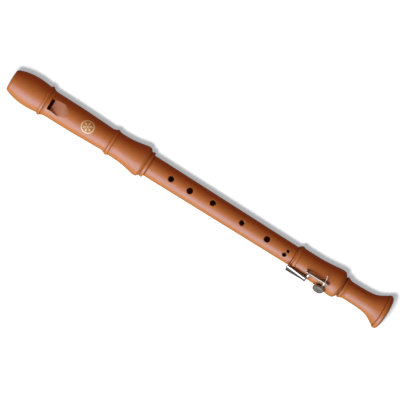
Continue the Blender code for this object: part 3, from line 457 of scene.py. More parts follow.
def round_point(station, degrees, radius):
    """Point at a station, an angle round the bore and a radius from its axis."""
    angle = math.radians(degrees)
    y, z = -radius * MM * math.sin(angle), radius * MM * math.cos(angle)
    return Vector((TIP_X + station * MM, y, AXIS_Z + z))


def outward(station, degrees):
    """Direction away from the bore's axis."""
    return (round_point(station, degrees, 1.0) - round_point(station, degrees, 0.0)).normalized()


def flat_point(station, y, z):
    """Point at a station, with y and z in millimetres from the bore's axis."""
    return Vector((TIP_X + station * MM, y * MM, AXIS_Z + z * MM))


def at_x(station, point):
    """The same point moved along the bore to a station."""
    return Vector((TIP_X + station * MM, point.y, point.z))


HINGE = round_point(0.0, HINGE_ANGLE, HINGE_RADIUS)


def finish_mesh(shape, name, material, sharp=SHARP_ANGLE):
    """Turns a bmesh into a smooth shaded object at the frame's origin."""
    bmesh.ops.recalc_face_normals(shape, faces=shape.faces)
    mesh = bpy.data.meshes.new(name)
    shape.to_mesh(mesh)
    shape.free()
    mesh.shade_smooth()
    mesh.set_sharp_from_angle(angle=math.radians(sharp))
    mesh.materials.append(material)
    return add_object(name, mesh)


def flowing(points):
    """Smooth line through (station, radius) points that never overshoots them."""
    at = np.array([p[0] for p in points], float)
    radius = np.array([p[1] for p in points], float)
    gap = np.diff(at)
    slope = np.diff(radius) / gap
    tangent = np.zeros(len(at))
    tangent[0], tangent[-1] = slope[0], slope[-1]
    for i in range(1, len(at) - 1):
        if slope[i - 1] * slope[i] > 0.0:
            first = 2.0 * gap[i] + gap[i - 1]
            second = gap[i] + 2.0 * gap[i - 1]
            tangent[i] = (first + second) / (first / slope[i - 1] + second / slope[i])
    line = []
    for i, width in enumerate(gap):
        rise = abs(slope[i]) * width
        least = 2.0 if width > 1.0 else 1.0
        pieces = math.ceil(max(width / LONGEST_RUN, rise / HIGHEST_STEP, least))
        for k in range(pieces):
            u = k / pieces
            value = ((1 + 2 * u) * (1 - u) ** 2 * radius[i] + u * (1 - u) ** 2 * width * tangent[i]
                     + u * u * (3 - 2 * u) * radius[i + 1] + u * u * (u - 1) * width * tangent[i + 1])
            line.append((at[i] + u * width, value))
    line.append((at[-1], radius[-1]))
    return line


def between(start, end, pieces):
    """Points inside a straight line on a turned profile, which they divide evenly."""
    shares = [k / pieces for k in range(1, pieces)]
    return [(taper(start[0], end[0], share), taper(start[1], end[1], share)) for share in shares]


def bead(middle, width, base, top):
    """Half round ring on a turned profile."""
    line = []
    for k in range(BEAD_STEPS + 1):
        turn = math.pi * k / BEAD_STEPS
        line.append((middle - math.cos(turn) * width / 2, base + (top - base) * math.sin(turn)))
    return line


def spun(name, outline, material, steps=SPIN_STEPS, painted_shade=None, bands=()):
    """Ring shaped piece turned round the bore's axis from a closed (station, radius) loop.

    Faces whose middles lie between a band's two stations, outside the bore, take the painted shade.
    """
    clean = []
    for station, radius in outline:
        if not clean or abs(clean[-1][0] - station) + abs(clean[-1][1] - radius) > POINTS_APART:
            clean.append((station, radius))
    shape = bmesh.new()
    rings = []
    for k in range(steps):
        degrees = 360.0 * k / steps
        rings.append([shape.verts.new(round_point(station, degrees, radius)) for station, radius in clean])
    for k in range(steps):
        near, far = rings[k], rings[(k + 1) % steps]
        for i in range(len(clean)):
            j = (i + 1) % len(clean)
            face = shape.faces.new((near[i], near[j], far[j], far[i]))
            middle = (clean[i][0] + clean[j][0]) / 2
            lowest = min(clean[i][1], clean[j][1])
            if lowest > SHADE_FROM_RADIUS and any(low < middle < high for low, high in bands):
                face.material_index = 1
    thing = finish_mesh(shape, name, material)
    if painted_shade:
        thing.data.materials.append(painted_shade)
    return thing


def turned_solid(name, outline, matrix, material, steps=48):
    """Solid of revolution round local Z; the outline is (height, radius) in millimetres."""
    shape = bmesh.new()
    turns = [math.tau * k / steps for k in range(steps)]
    rings = []
    for height, radius in outline:
        corners = [(radius * MM * math.cos(turn), radius * MM * math.sin(turn)) for turn in turns]
        if radius <= 0.0:
            corners = [(0.0, 0.0)]
        rings.append([shape.verts.new((x, y, height * MM)) for x, y in corners])
    for near, far in zip(rings, rings[1:]):
        for k in range(steps):
            j = (k + 1) % steps
            if len(near) == 1:
                shape.faces.new((near[0], far[j], far[k]))
            elif len(far) == 1:
                shape.faces.new((near[k], near[j], far[0]))
            else:
                shape.faces.new((near[k], near[j], far[j], far[k]))
    bmesh.ops.transform(shape, matrix=matrix, verts=shape.verts)
    return finish_mesh(shape, name, material)


def loft(name, sections, material, sharp=SHARP_ANGLE):
    """Closed solid through loops of equal corner count."""
    shape = bmesh.new()
    rings = [[shape.verts.new(corner) for corner in section] for section in sections]
    count = len(rings[0])
    for near, far in zip(rings, rings[1:]):
        for i in range(count):
            j = (i + 1) % count
            shape.faces.new((near[i], near[j], far[j], far[i]))
    shape.faces.new(rings[0][::-1])
    shape.faces.new(rings[-1])
    return finish_mesh(shape, name, material, sharp)


def box_tool(name, low, high, material):
    """Box between two opposite corners."""
    shape = bmesh.new()
    bmesh.ops.create_cube(shape, size=1.0)
    matrix = Matrix.Translation((low + high) / 2) @ Matrix.Diagonal((*(high - low), 1.0))
    bmesh.ops.transform(shape, matrix=matrix, verts=shape.verts)
    return finish_mesh(shape, name, material)


def drum_tool(name, radius, start, end, material, steps=64):
    """Cylinder between two points, its radius in millimetres."""
    way = (end - start).to_track_quat("Z", "Y").to_matrix().to_4x4()
    shape = bmesh.new()
    bmesh.ops.create_cone(shape, cap_ends=True, segments=steps, radius1=radius * MM, radius2=radius * MM,
                          depth=(end - start).length)
    bmesh.ops.transform(shape, matrix=Matrix.Translation((start + end) / 2) @ way, verts=shape.verts)
    return finish_mesh(shape, name, material)


def settle(thing, sharp):
    """Applies a piece's modifiers."""
    bpy.context.view_layer.update()
    graph = bpy.context.evaluated_depsgraph_get()
    mesh = bpy.data.meshes.new_from_object(thing.evaluated_get(graph))
    old = thing.data
    thing.modifiers.clear()
    thing.data = mesh
    bpy.data.meshes.remove(old)
    mesh.name = thing.name
    mesh.shade_smooth()
    mesh.set_sharp_from_angle(angle=math.radians(sharp))


def carve(thing, tools, sharp=SHARP_ANGLE):
    """Cuts the tools out of a piece; the cut faces take the tool's finish."""
    for tool in tools:
        step = thing.modifiers.new(tool.name, "BOOLEAN")
        step.operation = "DIFFERENCE"
        step.solver = "EXACT"
        step.material_mode = "TRANSFER"
        step.object = tool
    settle(thing, sharp)
    for tool in tools:
        bpy.data.objects.remove(tool, do_unlink=True)


def soften(thing, width):
    """Rounds the sharp edges of a clean solid."""
    step = thing.modifiers.new("edges", "BEVEL")
    step.width = width * MM
    step.segments = 2
    step.limit_method = "ANGLE"
    step.angle_limit = math.radians(35.0)
    settle(thing, sharp=50.0)


def curve_through(stations):
    """Catmull-Rom line through (point, width, thickness) stations."""
    rows = [np.array([*point, width, thick]) for point, width, thick in stations]
    rows = [2 * rows[0] - rows[1]] + rows + [2 * rows[-1] - rows[-2]]
    line = []
    for i in range(1, len(rows) - 2):
        p0, p1, p2, p3 = rows[i - 1:i + 3]
        for k in range(CURVE_STEPS):
            u = k / CURVE_STEPS
            line.append(0.5 * (2 * p1 + (p2 - p0) * u + (2 * p0 - 5 * p1 + 4 * p2 - p3) * u * u
                               + (3 * p1 - p0 - 3 * p2 + p3) * u ** 3))
    line.append(rows[-2])
    return line


def strap(name, stations, material):
    """Bent strap in the cross-section with rounded edges; sizes in millimetres."""
    line = curve_through(stations)
    sections = []
    for i, row in enumerate(line):
        before = line[max(i - 1, 0)]
        after = line[min(i + 1, len(line) - 1)]
        along = Vector((0.0, after[1] - before[1], after[2] - before[2])).normalized()
        across = Vector((0.0, -along.z, along.y))
        centre = Vector(row[:3])
        half_width, half_thick = row[3] / 2, row[4] / 2
        shrink = 0.8 if i in (0, len(line) - 1) else 1.0
        round_by = min(STRAP_CORNER, half_thick * 0.9)
        ring = []
        for sx, sy, first in ((1, 1, 0), (-1, 1, 1), (-1, -1, 2), (1, -1, 3)):
            for k in range(5):
                turn = math.pi / 2 * (first + k / 4.0)
                u = sx * (half_width - round_by) + round_by * math.cos(turn)
                v = sy * (half_thick - round_by) + round_by * math.sin(turn)
                ring.append(centre + ALONG * u * shrink * MM + across * v * shrink * MM)
        sections.append(ring)
    return loft(name, sections, material, sharp=50.0)


# Head

WINDWAY_END = 65.0
LABIUM_EDGE = 69.9
WINDOW_HALF_WIDTH = 8.4
WINDOW_ASIDE = 0.9
SLOT_FLOOR = 8.6
WINDWAY_ROOF = 13.0
CHANNEL_LENGTH = 15.0
CHANNEL_ROOF = 12.3
RAMP_HALF_WIDTH = 8.7
RAMP_ASIDE = 0.2
RAMP_SPLAY = math.radians(6.5)
RAMP_EDGE_HEIGHT = 12.5
RAMP_SLOPE = math.radians(16.2)
BEAK_CUT_RADIUS = 62.0
BEAK_CUT_HEIGHT = 3.5
BEAK_CUT_LENGTH = 49.0
BEAK_CUT_DEPTH = 23.3


def tenon(tip, shoulder, radius):
    """Outer line of a tenon with its cork's groove, from tip to shoulder."""
    way = 1.0 if shoulder > tip else -1.0
    low, high = tip + way * CORK_FROM_ENDS, shoulder - way * CORK_FROM_ENDS
    return [(tip, radius - TENON_EDGE), (tip + way * TENON_EDGE, radius), (low, radius),
            (low, radius - CORK_DEPTH), (high, radius - CORK_DEPTH), (high, radius), (shoulder, radius)]


def head_outline():
    """Outside from the mouthpiece to the socket's mouth, and back through socket and bore."""
    line = flowing([(0.0, 14.9), (0.15, 15.5), (0.6, 16.1), (1.4, 16.75), (2.6, 17.4), (3.7, 18.0),
                    (8.1, 19.4), (12.4, 20.7), (16.7, 21.65), (21.0, 22.35), (25.4, 22.85), (31.0, 23.2),
                    (35.0, 23.25), (39.0, 23.1), (42.6, 22.88), (47.0, 22.5), (49.9, 22.15), (53.9, 21.68)])
    line += [(54.2, 21.45), (54.6, 21.45)]
    line += bead(57.15, 4.9, 21.5, 23.65)
    line += [(59.7, 21.25), (60.0, 21.25)]
    line += flowing([(60.2, 21.9), (60.9, 21.55), (61.8, 21.0), (63.6, 20.15), (66.5, 19.85), (72.9, 19.7),
                     (88.0, 19.64), (103.3, 19.55), (120.6, 19.2), (138.0, 18.65), (151.0, 18.2),
                     (158.0, 17.85), (162.8, 17.7)])
    line += flowing([(163.0, 18.0), (164.2, 18.15), (165.6, 18.6), (167.1, 19.3)])
    line += [(167.3, 19.1), (167.6, 19.1)]
    line += bead(170.4, 5.2, 19.1, 20.85)
    line += [(173.1, 19.1), (173.4, 19.1)]
    line += flowing([(173.6, 19.5), (174.6, 19.5), (175.6, 19.15), (176.2, 18.9)])
    line += flowing([(176.4, 18.85), (181.4, 18.9), (186.0, 19.0), (190.0, 19.15), (194.5, 19.5),
                     (198.8, 20.0), (203.2, 20.7), (207.5, 21.5), (211.9, 22.4), (216.2, 23.3),
                     (219.0, 23.72), (221.0, 23.85), (222.6, 23.75), (224.0, 23.4), (225.3, 22.5),
                     (226.4, 21.2), (227.2, 20.2), (227.7, 19.7)])
    line += [(227.9, 19.2), (228.6, 19.2)]
    line += flowing([(228.8, 19.9), (229.3, 20.3), (230.1, 20.55), (231.2, 20.5), (232.2, 20.3),
                     (232.9, 20.0), (233.3, 19.5), (HEAD_END, 18.9)])
    socket = HEAD_END - UPPER_TENON_LENGTH - CLEARANCE
    line += [(HEAD_END, 14.9), (HEAD_END - 0.6, UPPER_SOCKET)]
    line += [(HEAD_END - 12.0, UPPER_SOCKET), (HEAD_END - 22.0, UPPER_SOCKET)]
    line += [(socket, UPPER_SOCKET), (socket, HEAD_BORE)]
    line += between((socket, HEAD_BORE), (0.0, HEAD_BORE), 24)
    return line + [(0.3, HEAD_BORE), (0.0, 12.5)]


def slot_tool(name, start, end, roof, material):
    """Box as wide as the windway, from its floor up to a roof."""
    low = flat_point(start, -WINDOW_HALF_WIDTH - WINDOW_ASIDE, SLOT_FLOOR)
    high = flat_point(end, WINDOW_HALF_WIDTH - WINDOW_ASIDE, roof)
    return box_tool(name, low, high, material)


def ramp_tool(material):
    """Wedge over the labium, which widens and rises from its edge."""
    sections = []
    for k in range(13):
        run = -0.3 + k * 5.0
        wide = RAMP_HALF_WIDTH + run * math.tan(RAMP_SPLAY)
        left, right = -wide - RAMP_ASIDE, wide - RAMP_ASIDE
        floor = RAMP_EDGE_HEIGHT + run * math.tan(RAMP_SLOPE)
        corners = ((left, floor), (right, floor), (right, OUTSIDE), (left, OUTSIDE))
        sections.append([flat_point(LABIUM_EDGE + run, y, z) for y, z in corners])
    return loft("ramp", sections, material)


def beak_tool(material):
    """Drum that hollows the beak from below, from its tip to where the arc leaves the wood."""
    low = flat_point(0.0, 0.0, BEAK_CUT_HEIGHT)
    high = flat_point(BEAK_CUT_LENGTH, 0.0, -BEAK_CUT_DEPTH)
    chord = high - low
    drop = math.sqrt((BEAK_CUT_RADIUS * MM) ** 2 - (chord.length / 2) ** 2)
    inward = Vector((chord.z, 0.0, -chord.x)).normalized()
    centre = (low + high) / 2 + inward * drop
    side = Vector((0.0, OUTSIDE * MM, 0.0))
    return drum_tool("beak", BEAK_CUT_RADIUS, centre - side, centre + side, material, steps=256)


def head_piece(wood, raw, bore, painted_shade):
    # Bands of painted shade in the turned grooves and at the joint's end
    bands = ((59.65, 60.05), (167.2, 168.1), (172.7, 173.45), (227.8, 228.7), (233.3, 234.0))
    head = spun("head_wood", head_outline(), wood, painted_shade=painted_shade, bands=bands)
    windway = slot_tool("windway", -1.0, WINDWAY_END, WINDWAY_ROOF, raw)
    channel = slot_tool("channel", WINDWAY_END - 1.0, LABIUM_EDGE + CHANNEL_LENGTH, CHANNEL_ROOF, raw)
    # The window's walls take the bore's finish, painted nearly black as shade
    window = slot_tool("window", WINDWAY_END, LABIUM_EDGE, OUTSIDE, bore)
    carve(head, [windway, channel, window, ramp_tool(raw), beak_tool(raw)])
    return head


ORNAMENT_AT = 129.2
ORNAMENT_RING = (8.4, 10.1)
ORNAMENT_DOT = (0.0001, 1.7)
PETALS = 6
PETAL_FROM = 2.3
PETAL_LENGTH = 5.1
PETAL_HALF_WIDTH = 1.5
BARREL_RADIUS = 19.02
BARREL_TAPER = 0.0315


def gilt_ornament(material):
    """Generic rosette in a ring, of gold leaf just over the barrel's wood."""
    shape = bmesh.new()

    def spot(u, v):
        """Point u mm along the barrel and v mm round it from the ornament's middle."""
        radius = BARREL_RADIUS - u * BARREL_TAPER
        return round_point(ORNAMENT_AT + u, math.degrees(v / radius), radius)

    def patch(outline_in, outline_out):
        inner = [shape.verts.new(spot(*p)) for p in outline_in]
        outer = [shape.verts.new(spot(*p)) for p in outline_out]
        for i in range(len(inner) - 1):
            shape.faces.new((inner[i], inner[i + 1], outer[i + 1], outer[i]))

    def ring(inner_radius, outer_radius, steps):
        turns = [math.tau * k / steps for k in range(steps + 1)]
        patch([(inner_radius * math.cos(t), inner_radius * math.sin(t)) for t in turns],
              [(outer_radius * math.cos(t), outer_radius * math.sin(t)) for t in turns])

    ring(*ORNAMENT_RING, 64)
    ring(*ORNAMENT_DOT, 24)
    for petal in range(PETALS):
        turn = math.tau * (petal + 0.5) / PETALS
        along = (math.cos(turn), math.sin(turn))
        across = (-along[1], along[0])
        left, right = [], []
        for k in range(13):
            share = k / 12.0
            reach = PETAL_FROM + PETAL_LENGTH * share
            wide = PETAL_HALF_WIDTH * math.sin(math.pi * share) ** 0.8
            for side, aside in ((left, wide), (right, -wide)):
                side.append((along[0] * reach + across[0] * aside, along[1] * reach + across[1] * aside))
        patch(left, right)
    bmesh.ops.remove_doubles(shape, verts=shape.verts, dist=0.000002)
    return finish_mesh(shape, "gilt_ornament", material)


# Middle joint

# Share of the joint's length, angle of the mouth, angle of the drill, radius, and slant
# along the bore.  The sixth and seventh are the double hole, and the last is the thumb's.
FINGER_HOLES = (
    (0.1493, 0.0, 0.0, 4.1, 0.0),
    (0.2790, 0.0, 0.0, 4.5, 0.0),
    (0.4295, -12.0, -12.0, 4.6, 16.0),
    (0.6375, -4.0, -4.0, 4.2, -16.0),
    (0.8125, 0.0, 0.0, 4.4, 0.0),
    (0.9465, 21.5, 8.0, 3.1, 0.0),
    (0.9550, -5.5, 8.0, 2.0, 0.0),
    (0.0889, 180.0, 180.0, 4.0, 0.0),
)
HOLE_STEPS = 48
MOUTH_ROUNDING = 0.55
WALL_SHOWS = 3.0
DRILL_INTO_BORE = 3.0


def hole_tool(name, hole, wall, dark):
    """Finger hole whose mouth is rounded evenly; further down the bore's finish, painted nearly black as
    shade, takes over from the wall.
    """
    share, degrees, drill_degrees, radius, slant = hole
    station = taper(MIDDLE_START, MIDDLE_END, share)
    surface = taper(MIDDLE_WIDE, MIDDLE_NARROW, share)
    bore = taper(MIDDLE_BORE_WIDE, MIDDLE_BORE_NARROW, share)
    centre = round_point(station, degrees, surface)
    out = outward(station, degrees)
    drill = outward(station, drill_degrees)
    side = out.cross(ALONG)
    lean = math.tan(math.radians(slant))
    rows = [(radius + MOUTH_ROUNDING * 1.25, -2.0)]
    for k in range(1, 7):
        turn = math.pi / 2 * k / 6
        rows.append((radius + MOUTH_ROUNDING * (1.0 - math.sin(turn)),
                     MOUTH_ROUNDING * (1.0 - math.cos(turn)) - 0.02))
    rows += [(radius, WALL_SHOWS), (radius, surface - bore + DRILL_INTO_BORE)]
    sections = []
    for wide, deep in rows:
        ring = []
        for k in range(HOLE_STEPS):
            turn = math.tau * k / HOLE_STEPS
            across = wide * math.sin(turn)
            drop = surface - math.sqrt(surface ** 2 - across ** 2)
            into = max(deep, 0.0)
            point = centre + ALONG * (wide * math.cos(turn) + into * lean) * MM + side * across * MM
            ring.append(point - out * (drop + min(deep, 0.0)) * MM - drill * into * MM)
        sections.append(ring)
    tool = loft(name, sections, wall)
    tool.data.materials.append(dark)
    # Deeper rings take the second finish, the bore's painted shade
    dark_from = HOLE_STEPS * (len(rows) - 2)
    for face in tool.data.polygons[dark_from:]:
        face.material_index = 1
    return tool


def middle_outline():
    """Upper tenon, outside, lower tenon, and back through the tapering bore."""
    tip, end = MIDDLE_START - UPPER_TENON_LENGTH, MIDDLE_END + LOWER_TENON_LENGTH
    line = tenon(tip, MIDDLE_START, UPPER_TENON)
    wide, narrow = (MIDDLE_START + 0.9, MIDDLE_WIDE), (MIDDLE_END - 0.9, MIDDLE_NARROW)
    line += flowing([(MIDDLE_START, 15.7), (MIDDLE_START + 0.3, 16.5), wide])
    line += between(wide, narrow, 62)
    line += flowing([narrow, (MIDDLE_END - 0.3, 14.75), (MIDDLE_END, 14.0)])
    line += tenon(end, MIDDLE_END, LOWER_TENON)[::-1]
    line += [(end, MIDDLE_BORE_NARROW + 0.4), (end - 0.4, MIDDLE_BORE_NARROW)]
    line += between((end - 0.4, MIDDLE_BORE_NARROW), (tip + 0.4, MIDDLE_BORE_WIDE), 60)
    return line + [(tip + 0.4, MIDDLE_BORE_WIDE), (tip, MIDDLE_BORE_WIDE + 0.4)]


def middle_piece(wood, lit_wall, bore, painted_shade):
    # A band of painted shade at the joint's end
    bands = ((MIDDLE_END - 0.35, MIDDLE_END + 0.1),)
    middle = spun("middle_wood", middle_outline(), wood, steps=96, painted_shade=painted_shade, bands=bands)
    tools = []
    for number, hole in enumerate(FINGER_HOLES):
        # Straight holes take the bore's painted shade right up to the mouth; slanted ones show wood first
        slant = hole[-1]
        tools.append(hole_tool(f"hole_{number}", hole, lit_wall if slant else bore, bore))
    carve(middle, tools)
    return middle


# Foot

BELL_BORE_START = 612.0
SEAT_RADIUS = 17.2
TONE_HOLE_BOTTOM = 3.6
POST_HOLE_DEPTH = 4.0


def foot_outline():
    """Outside from the socket's mouth to the bell's rim, and back through bell, bore and socket."""
    start = FOOT_START
    line = [(start, 14.6), (start + 0.3, 15.6)]
    line += flowing([(start + 0.6, 16.5), (start + 1.1, 17.2), (start + 1.9, 17.5)])
    line += [(start + 2.1, 16.8), (start + 2.6, 16.8)]
    line += flowing([(484.3, 17.8), (485.0, 18.7), (485.9, 19.45), (487.0, 19.85), (488.2, 19.8),
                     (489.2, 19.4), (490.0, 18.95)])
    line += [(490.2, 18.6), (490.6, 18.6)]
    line += flowing([(490.8, 18.75), (494.0, 18.5), (498.0, 18.42), (505.0, 18.38), (513.8, 18.42),
                     (520.0, 18.58), (527.0, 18.95), (536.0, 19.7), (544.6, 20.65), (549.0, 21.25),
                     (553.0, 21.7), (555.5, 21.78), (558.0, 21.65), (559.9, 21.25), (561.0, 20.7),
                     (562.0, 19.75), (562.9, 18.6), (563.7, 17.55), (564.3, 16.7), (564.6, 16.2)])
    line += [(564.9, 14.7), (566.1, 14.7)]
    line += flowing([(566.2, 15.8), (566.7, 16.6), (567.4, 16.95), (568.2, 16.85), (569.2, 16.4),
                     (570.4, 15.75), (571.6, 15.15), (572.8, 14.7), (574.2, 14.4), (576.0, 14.22),
                     (579.8, 14.15), (586.0, 14.14), (593.0, 14.25), (601.9, 14.6), (606.3, 15.0),
                     (610.7, 15.55), (615.0, 16.45), (619.5, 18.1), (623.9, 20.4), (628.3, 23.0),
                     (630.4, 24.25), (631.0, 24.5)])
    line += [(631.2, 23.9), (632.2, 23.9)]
    line += flowing([(632.4, 25.6), (632.9, 26.2), (633.8, 26.8), (635.0, 27.14), (636.4, 27.18),
                     (637.7, 26.75), (638.8, 25.8), (639.6, 24.5), (FOOT_END, 23.0)])
    line += [(FOOT_END, 18.0), (FOOT_END, 11.8), (FOOT_END - 0.2, 11.2), (FOOT_END - 0.8, 10.8)]
    bell = (BELL_BORE_START, FOOT_BORE_NARROW)
    line += flowing([bell, (620.0, 7.55), (630.0, 8.9), (639.2, 10.8)])[::-1]
    socket = start + LOWER_TENON_LENGTH + CLEARANCE
    line += between(bell, (socket, FOOT_BORE_WIDE), 16)
    line += [(socket, FOOT_BORE_WIDE), (socket, LOWER_SOCKET), (start + 13.0, LOWER_SOCKET)]
    return line + [(start + 0.6, LOWER_SOCKET), (start, 12.8)]


def foot_piece(wood, bore, painted_shade):
    start = FOOT_START
    # Bands of painted shade at the socket's mouth and in the turned grooves
    bands = ((start - 0.1, start + 0.45), (start + 2.0, start + 2.6), (564.4, 566.6), (631.1, 632.3))
    foot = spun("foot_wood", foot_outline(), wood, painted_shade=painted_shade, bands=bands)
    seat = round_point(PAD_AT, PAD_ANGLE, SEAT_RADIUS)
    below_seat = round_point(PAD_AT, PAD_ANGLE, SEAT_RADIUS - 0.1)
    bottom = round_point(PAD_AT, PAD_ANGLE, TONE_HOLE_BOTTOM)
    outside = round_point(PAD_AT, PAD_ANGLE, OUTSIDE)
    # The first tool leaves a ring of painted shadow round the key's seat
    tools = [drum_tool("shadow_line", 10.2, seat, outside, painted_shade, steps=96),
             drum_tool("recess", 8.8, below_seat, outside, wood, steps=96),
             # The tone hole, and the posts' holes below, take the bore's finish, painted nearly black as
             # shade
             drum_tool("tone_hole", 5.5, bottom, outside, bore)]
    for station, wood_radius in ((UPPER_POST, 18.42), (LOWER_POST, 20.1)):
        floor = round_point(station, HINGE_ANGLE, wood_radius - POST_HOLE_DEPTH)
        above = round_point(station, HINGE_ANGLE, OUTSIDE)
        tools.append(drum_tool("post_hole", 1.5, floor, above, bore, steps=32))
    carve(foot, tools)
    return foot


# Key

PLATE_START = FOOT_START - 1.9
PLATE_END = FOOT_START + 30.2
PLATE_SHARES = (0.0, 0.004, 0.012, 0.025, 0.045, 0.07, 0.1, 0.14, 0.18, 0.24, 0.32, 0.42, 0.55, 0.7,
                0.85, 0.97, 1.0)
PLATE_THICKNESS = 0.9
PLATE_TOP_SLOPE = 16.0
PLATE_KNEE_SLOPE = 49.0
PLATE_LOW_SLOPE = 60.0
PLATE_BLUNT_LENGTH = 2.0
PLATE_CURL = 1.2
ARM_THICKNESS = 1.3
FAN_THICKNESS = 1.2
SHADED_FROM_Y = -13.8
POST_TO_TUBE = 2.7
CATCH_ANGLE = math.radians(-56.0)


def plate_ring(share, narrow, curl):
    """Outer and inner corners (y, z in mm from the bore's axis) across the touch plate.

    It bends over a knee that lies further out towards the arm, where its upper part also dips.
    """
    along = min(max((share - 0.25) / 0.75, 0.0), 1.0)
    upper_curve, lower_curve = 6.2 + 4.0 * along, 41.0 - 24.0 * along
    knee = (-19.05 - 2.0 * along, 15.25 - 1.35 * along)
    fold = math.radians(PLATE_KNEE_SLOPE)
    middle, half = (PLATE_TOP_SLOPE + PLATE_LOW_SLOPE) / 2, (PLATE_LOW_SLOPE - PLATE_TOP_SLOPE) / 2
    outer, inner = [], []
    for k in range(17):
        across = 2.0 * k / 16 - 1.0
        degrees = middle + half * across * narrow
        slope = math.radians(degrees)
        curve = upper_curve if degrees < PLATE_KNEE_SLOPE else lower_curve
        y = knee[0] - curve * (math.sin(slope) - math.sin(fold))
        z = knee[1] + curve * (math.cos(slope) - math.cos(fold))
        edge = 0.3 * abs(across) ** 8
        sink = curl + 1.5 * along * max(0.0, -across) ** 1.5
        for side, depth in ((outer, sink + edge), (inner, sink + PLATE_THICKNESS - edge)):
            side.append((y + depth * math.sin(slope), z - depth * math.cos(slope)))
    return outer + inner[::-1]


def touch_plate_piece(metal):
    """Plate for the little finger, with a blunt end that curls in."""
    length = PLATE_END - PLATE_START
    sections = []
    for share in PLATE_SHARES:
        from_end = share * length
        narrow = 1.0
        if from_end < PLATE_BLUNT_LENGTH:
            narrow = max(math.sqrt(1.0 - (1.0 - from_end / PLATE_BLUNT_LENGTH) ** 2), 0.6)
        curl = PLATE_CURL * max(0.0, 1.0 - share / 0.1) ** 2
        corners = plate_ring(share, narrow, curl)
        sections.append([flat_point(PLATE_START + from_end, y, z) for y, z in corners])
    return loft("touch_plate_metal", sections, metal, sharp=50.0)


def arm_rows(station, bends):
    """Rows of a strap that stays at one station, from the y, z and width of each bend."""
    return [(flat_point(station, y, z), width, ARM_THICKNESS) for y, z, width in bends]


def touch_arm_piece(metal):
    bends = ((-10.3, 21.6, 2.8), (-11.6, 21.3, 2.7), (-13.0, 20.7, 2.6), (-14.4, 19.8, 2.5),
             (-15.5, 18.7, 2.4), (-16.8, 16.9, 2.3), (-18.6, 14.9, 2.3), (-20.6, 12.7, 2.3),
             (-22.2, 10.0, 2.3), (-22.9, 8.4, 2.3))
    return strap("touch_arm_metal", arm_rows(TOUCH_ARM, bends), metal)


def cup_matrix():
    """Places a solid of revolution, whose height is its distance from the bore, on the open key."""
    x = TIP_X + PAD_AT * MM
    closed = Matrix.Translation((x, 0.0, AXIS_Z)) @ Matrix.Rotation(math.radians(PAD_ANGLE), 4, "X")
    pivot = Matrix.Translation((0.0, HINGE.y, HINGE.z))
    return pivot @ Matrix.Rotation(-KEY_OPEN, 4, "X") @ pivot.inverted() @ closed


def pad_cup_piece(metal):
    """Cup with a chamfered rim, a rounded shoulder and a low dome."""
    rim, floor, plate, dome = 18.6, 20.3, 21.0, 21.6
    inner, outer, corner, edge = 7.9, 8.6, 1.0, 0.15
    crown = outer - corner
    shoulder = floor - 0.3
    outline = [(floor, 0.0), (floor, inner), (rim + edge, inner), (rim, inner + edge),
               (rim, outer - edge), (rim + edge, outer), (shoulder, outer)]
    for k in range(1, 7):
        turn = math.pi / 2 * k / 6
        outline.append((shoulder + corner * math.sin(turn), crown + corner * math.cos(turn)))
    for k in range(1, 7):
        share = k / 6.0
        height = plate - 0.3 + (dome - plate + 0.3) * math.sin(math.pi / 2 * share)
        outline.append((height, crown * (1.0 - share)))
    return turned_solid("pad_cup_metal", outline, cup_matrix(), metal, steps=72)


def cup_arm_piece(metal, satin):
    """Arm that fans out over the cup, hugging its edge; past its bend it takes a darker, rougher copy of
    its metal, painted shade.
    """
    to_cup = cup_matrix()
    bends = ((-10.3, 21.6, 2.6), (-11.5, 20.9, 2.6), (-12.7, 19.8, 2.6), (-13.7, 18.8, 2.7),
             (-14.8, 18.45, 3.0), (-16.2, 18.35, 3.8), (-17.5, 18.3, 5.8))
    rows = arm_rows(CUP_ARM, bends)
    fan = ((9.2, 22.0, 9.0, 0.5), (6.9, 22.1, 14.0, 0.85), (4.4, 22.15, 16.2, 1.0), (1.4, 22.15, 15.6, 1.0),
           (-1.8, 22.1, 13.4, 1.0), (-4.4, 22.0, 9.0, 1.0), (-5.8, 21.9, 4.0, 1.0))
    for up, high, width, shift in fan:
        point = to_cup @ Vector((0.0, up * MM, high * MM))
        rows.append((at_x(taper(CUP_ARM, PAD_AT, shift), point), width, FAN_THICKNESS))
    arm = strap("cup_arm_metal", rows, metal)
    # Faces past the bend take the darker copy, painted shade on the fan
    arm.data.materials.append(satin)
    for face in arm.data.polygons:
        face.material_index = int(face.center.y < SHADED_FROM_Y * MM)
    return arm


def heel_piece(metal):
    """Tail from over the tube to the front of the foot, where its cork rests."""
    wood_radius, cork, thickness = 19.75, 1.0, 1.2
    centre_radius = wood_radius + CLEARANCE + cork + CLEARANCE + thickness / 2
    start = HINGE + Vector((0.0, TUBE - 0.4, 0.3)) * MM
    start_angle = math.atan2(-start.y, start.z - AXIS_Z)
    tip_angle = -math.asin(2.2 / centre_radius)
    rows = [(at_x(CUP_ARM, HINGE + Vector((0.0, -0.5, TUBE + 0.35)) * MM), 2.1, 0.9),
            (at_x(CUP_ARM, HINGE + Vector((0.0, 1.2, TUBE + 0.1)) * MM), 2.0, 1.0)]
    for k in range(1, 6):
        share = k / 5.0
        angle = math.degrees(taper(start_angle, tip_angle, share))
        point = round_point(CUP_ARM - 1.7 * share ** 2, angle, centre_radius)
        rows.append((point, 1.9 - 0.3 * share, thickness))
    return strap("heel_metal", rows, metal)


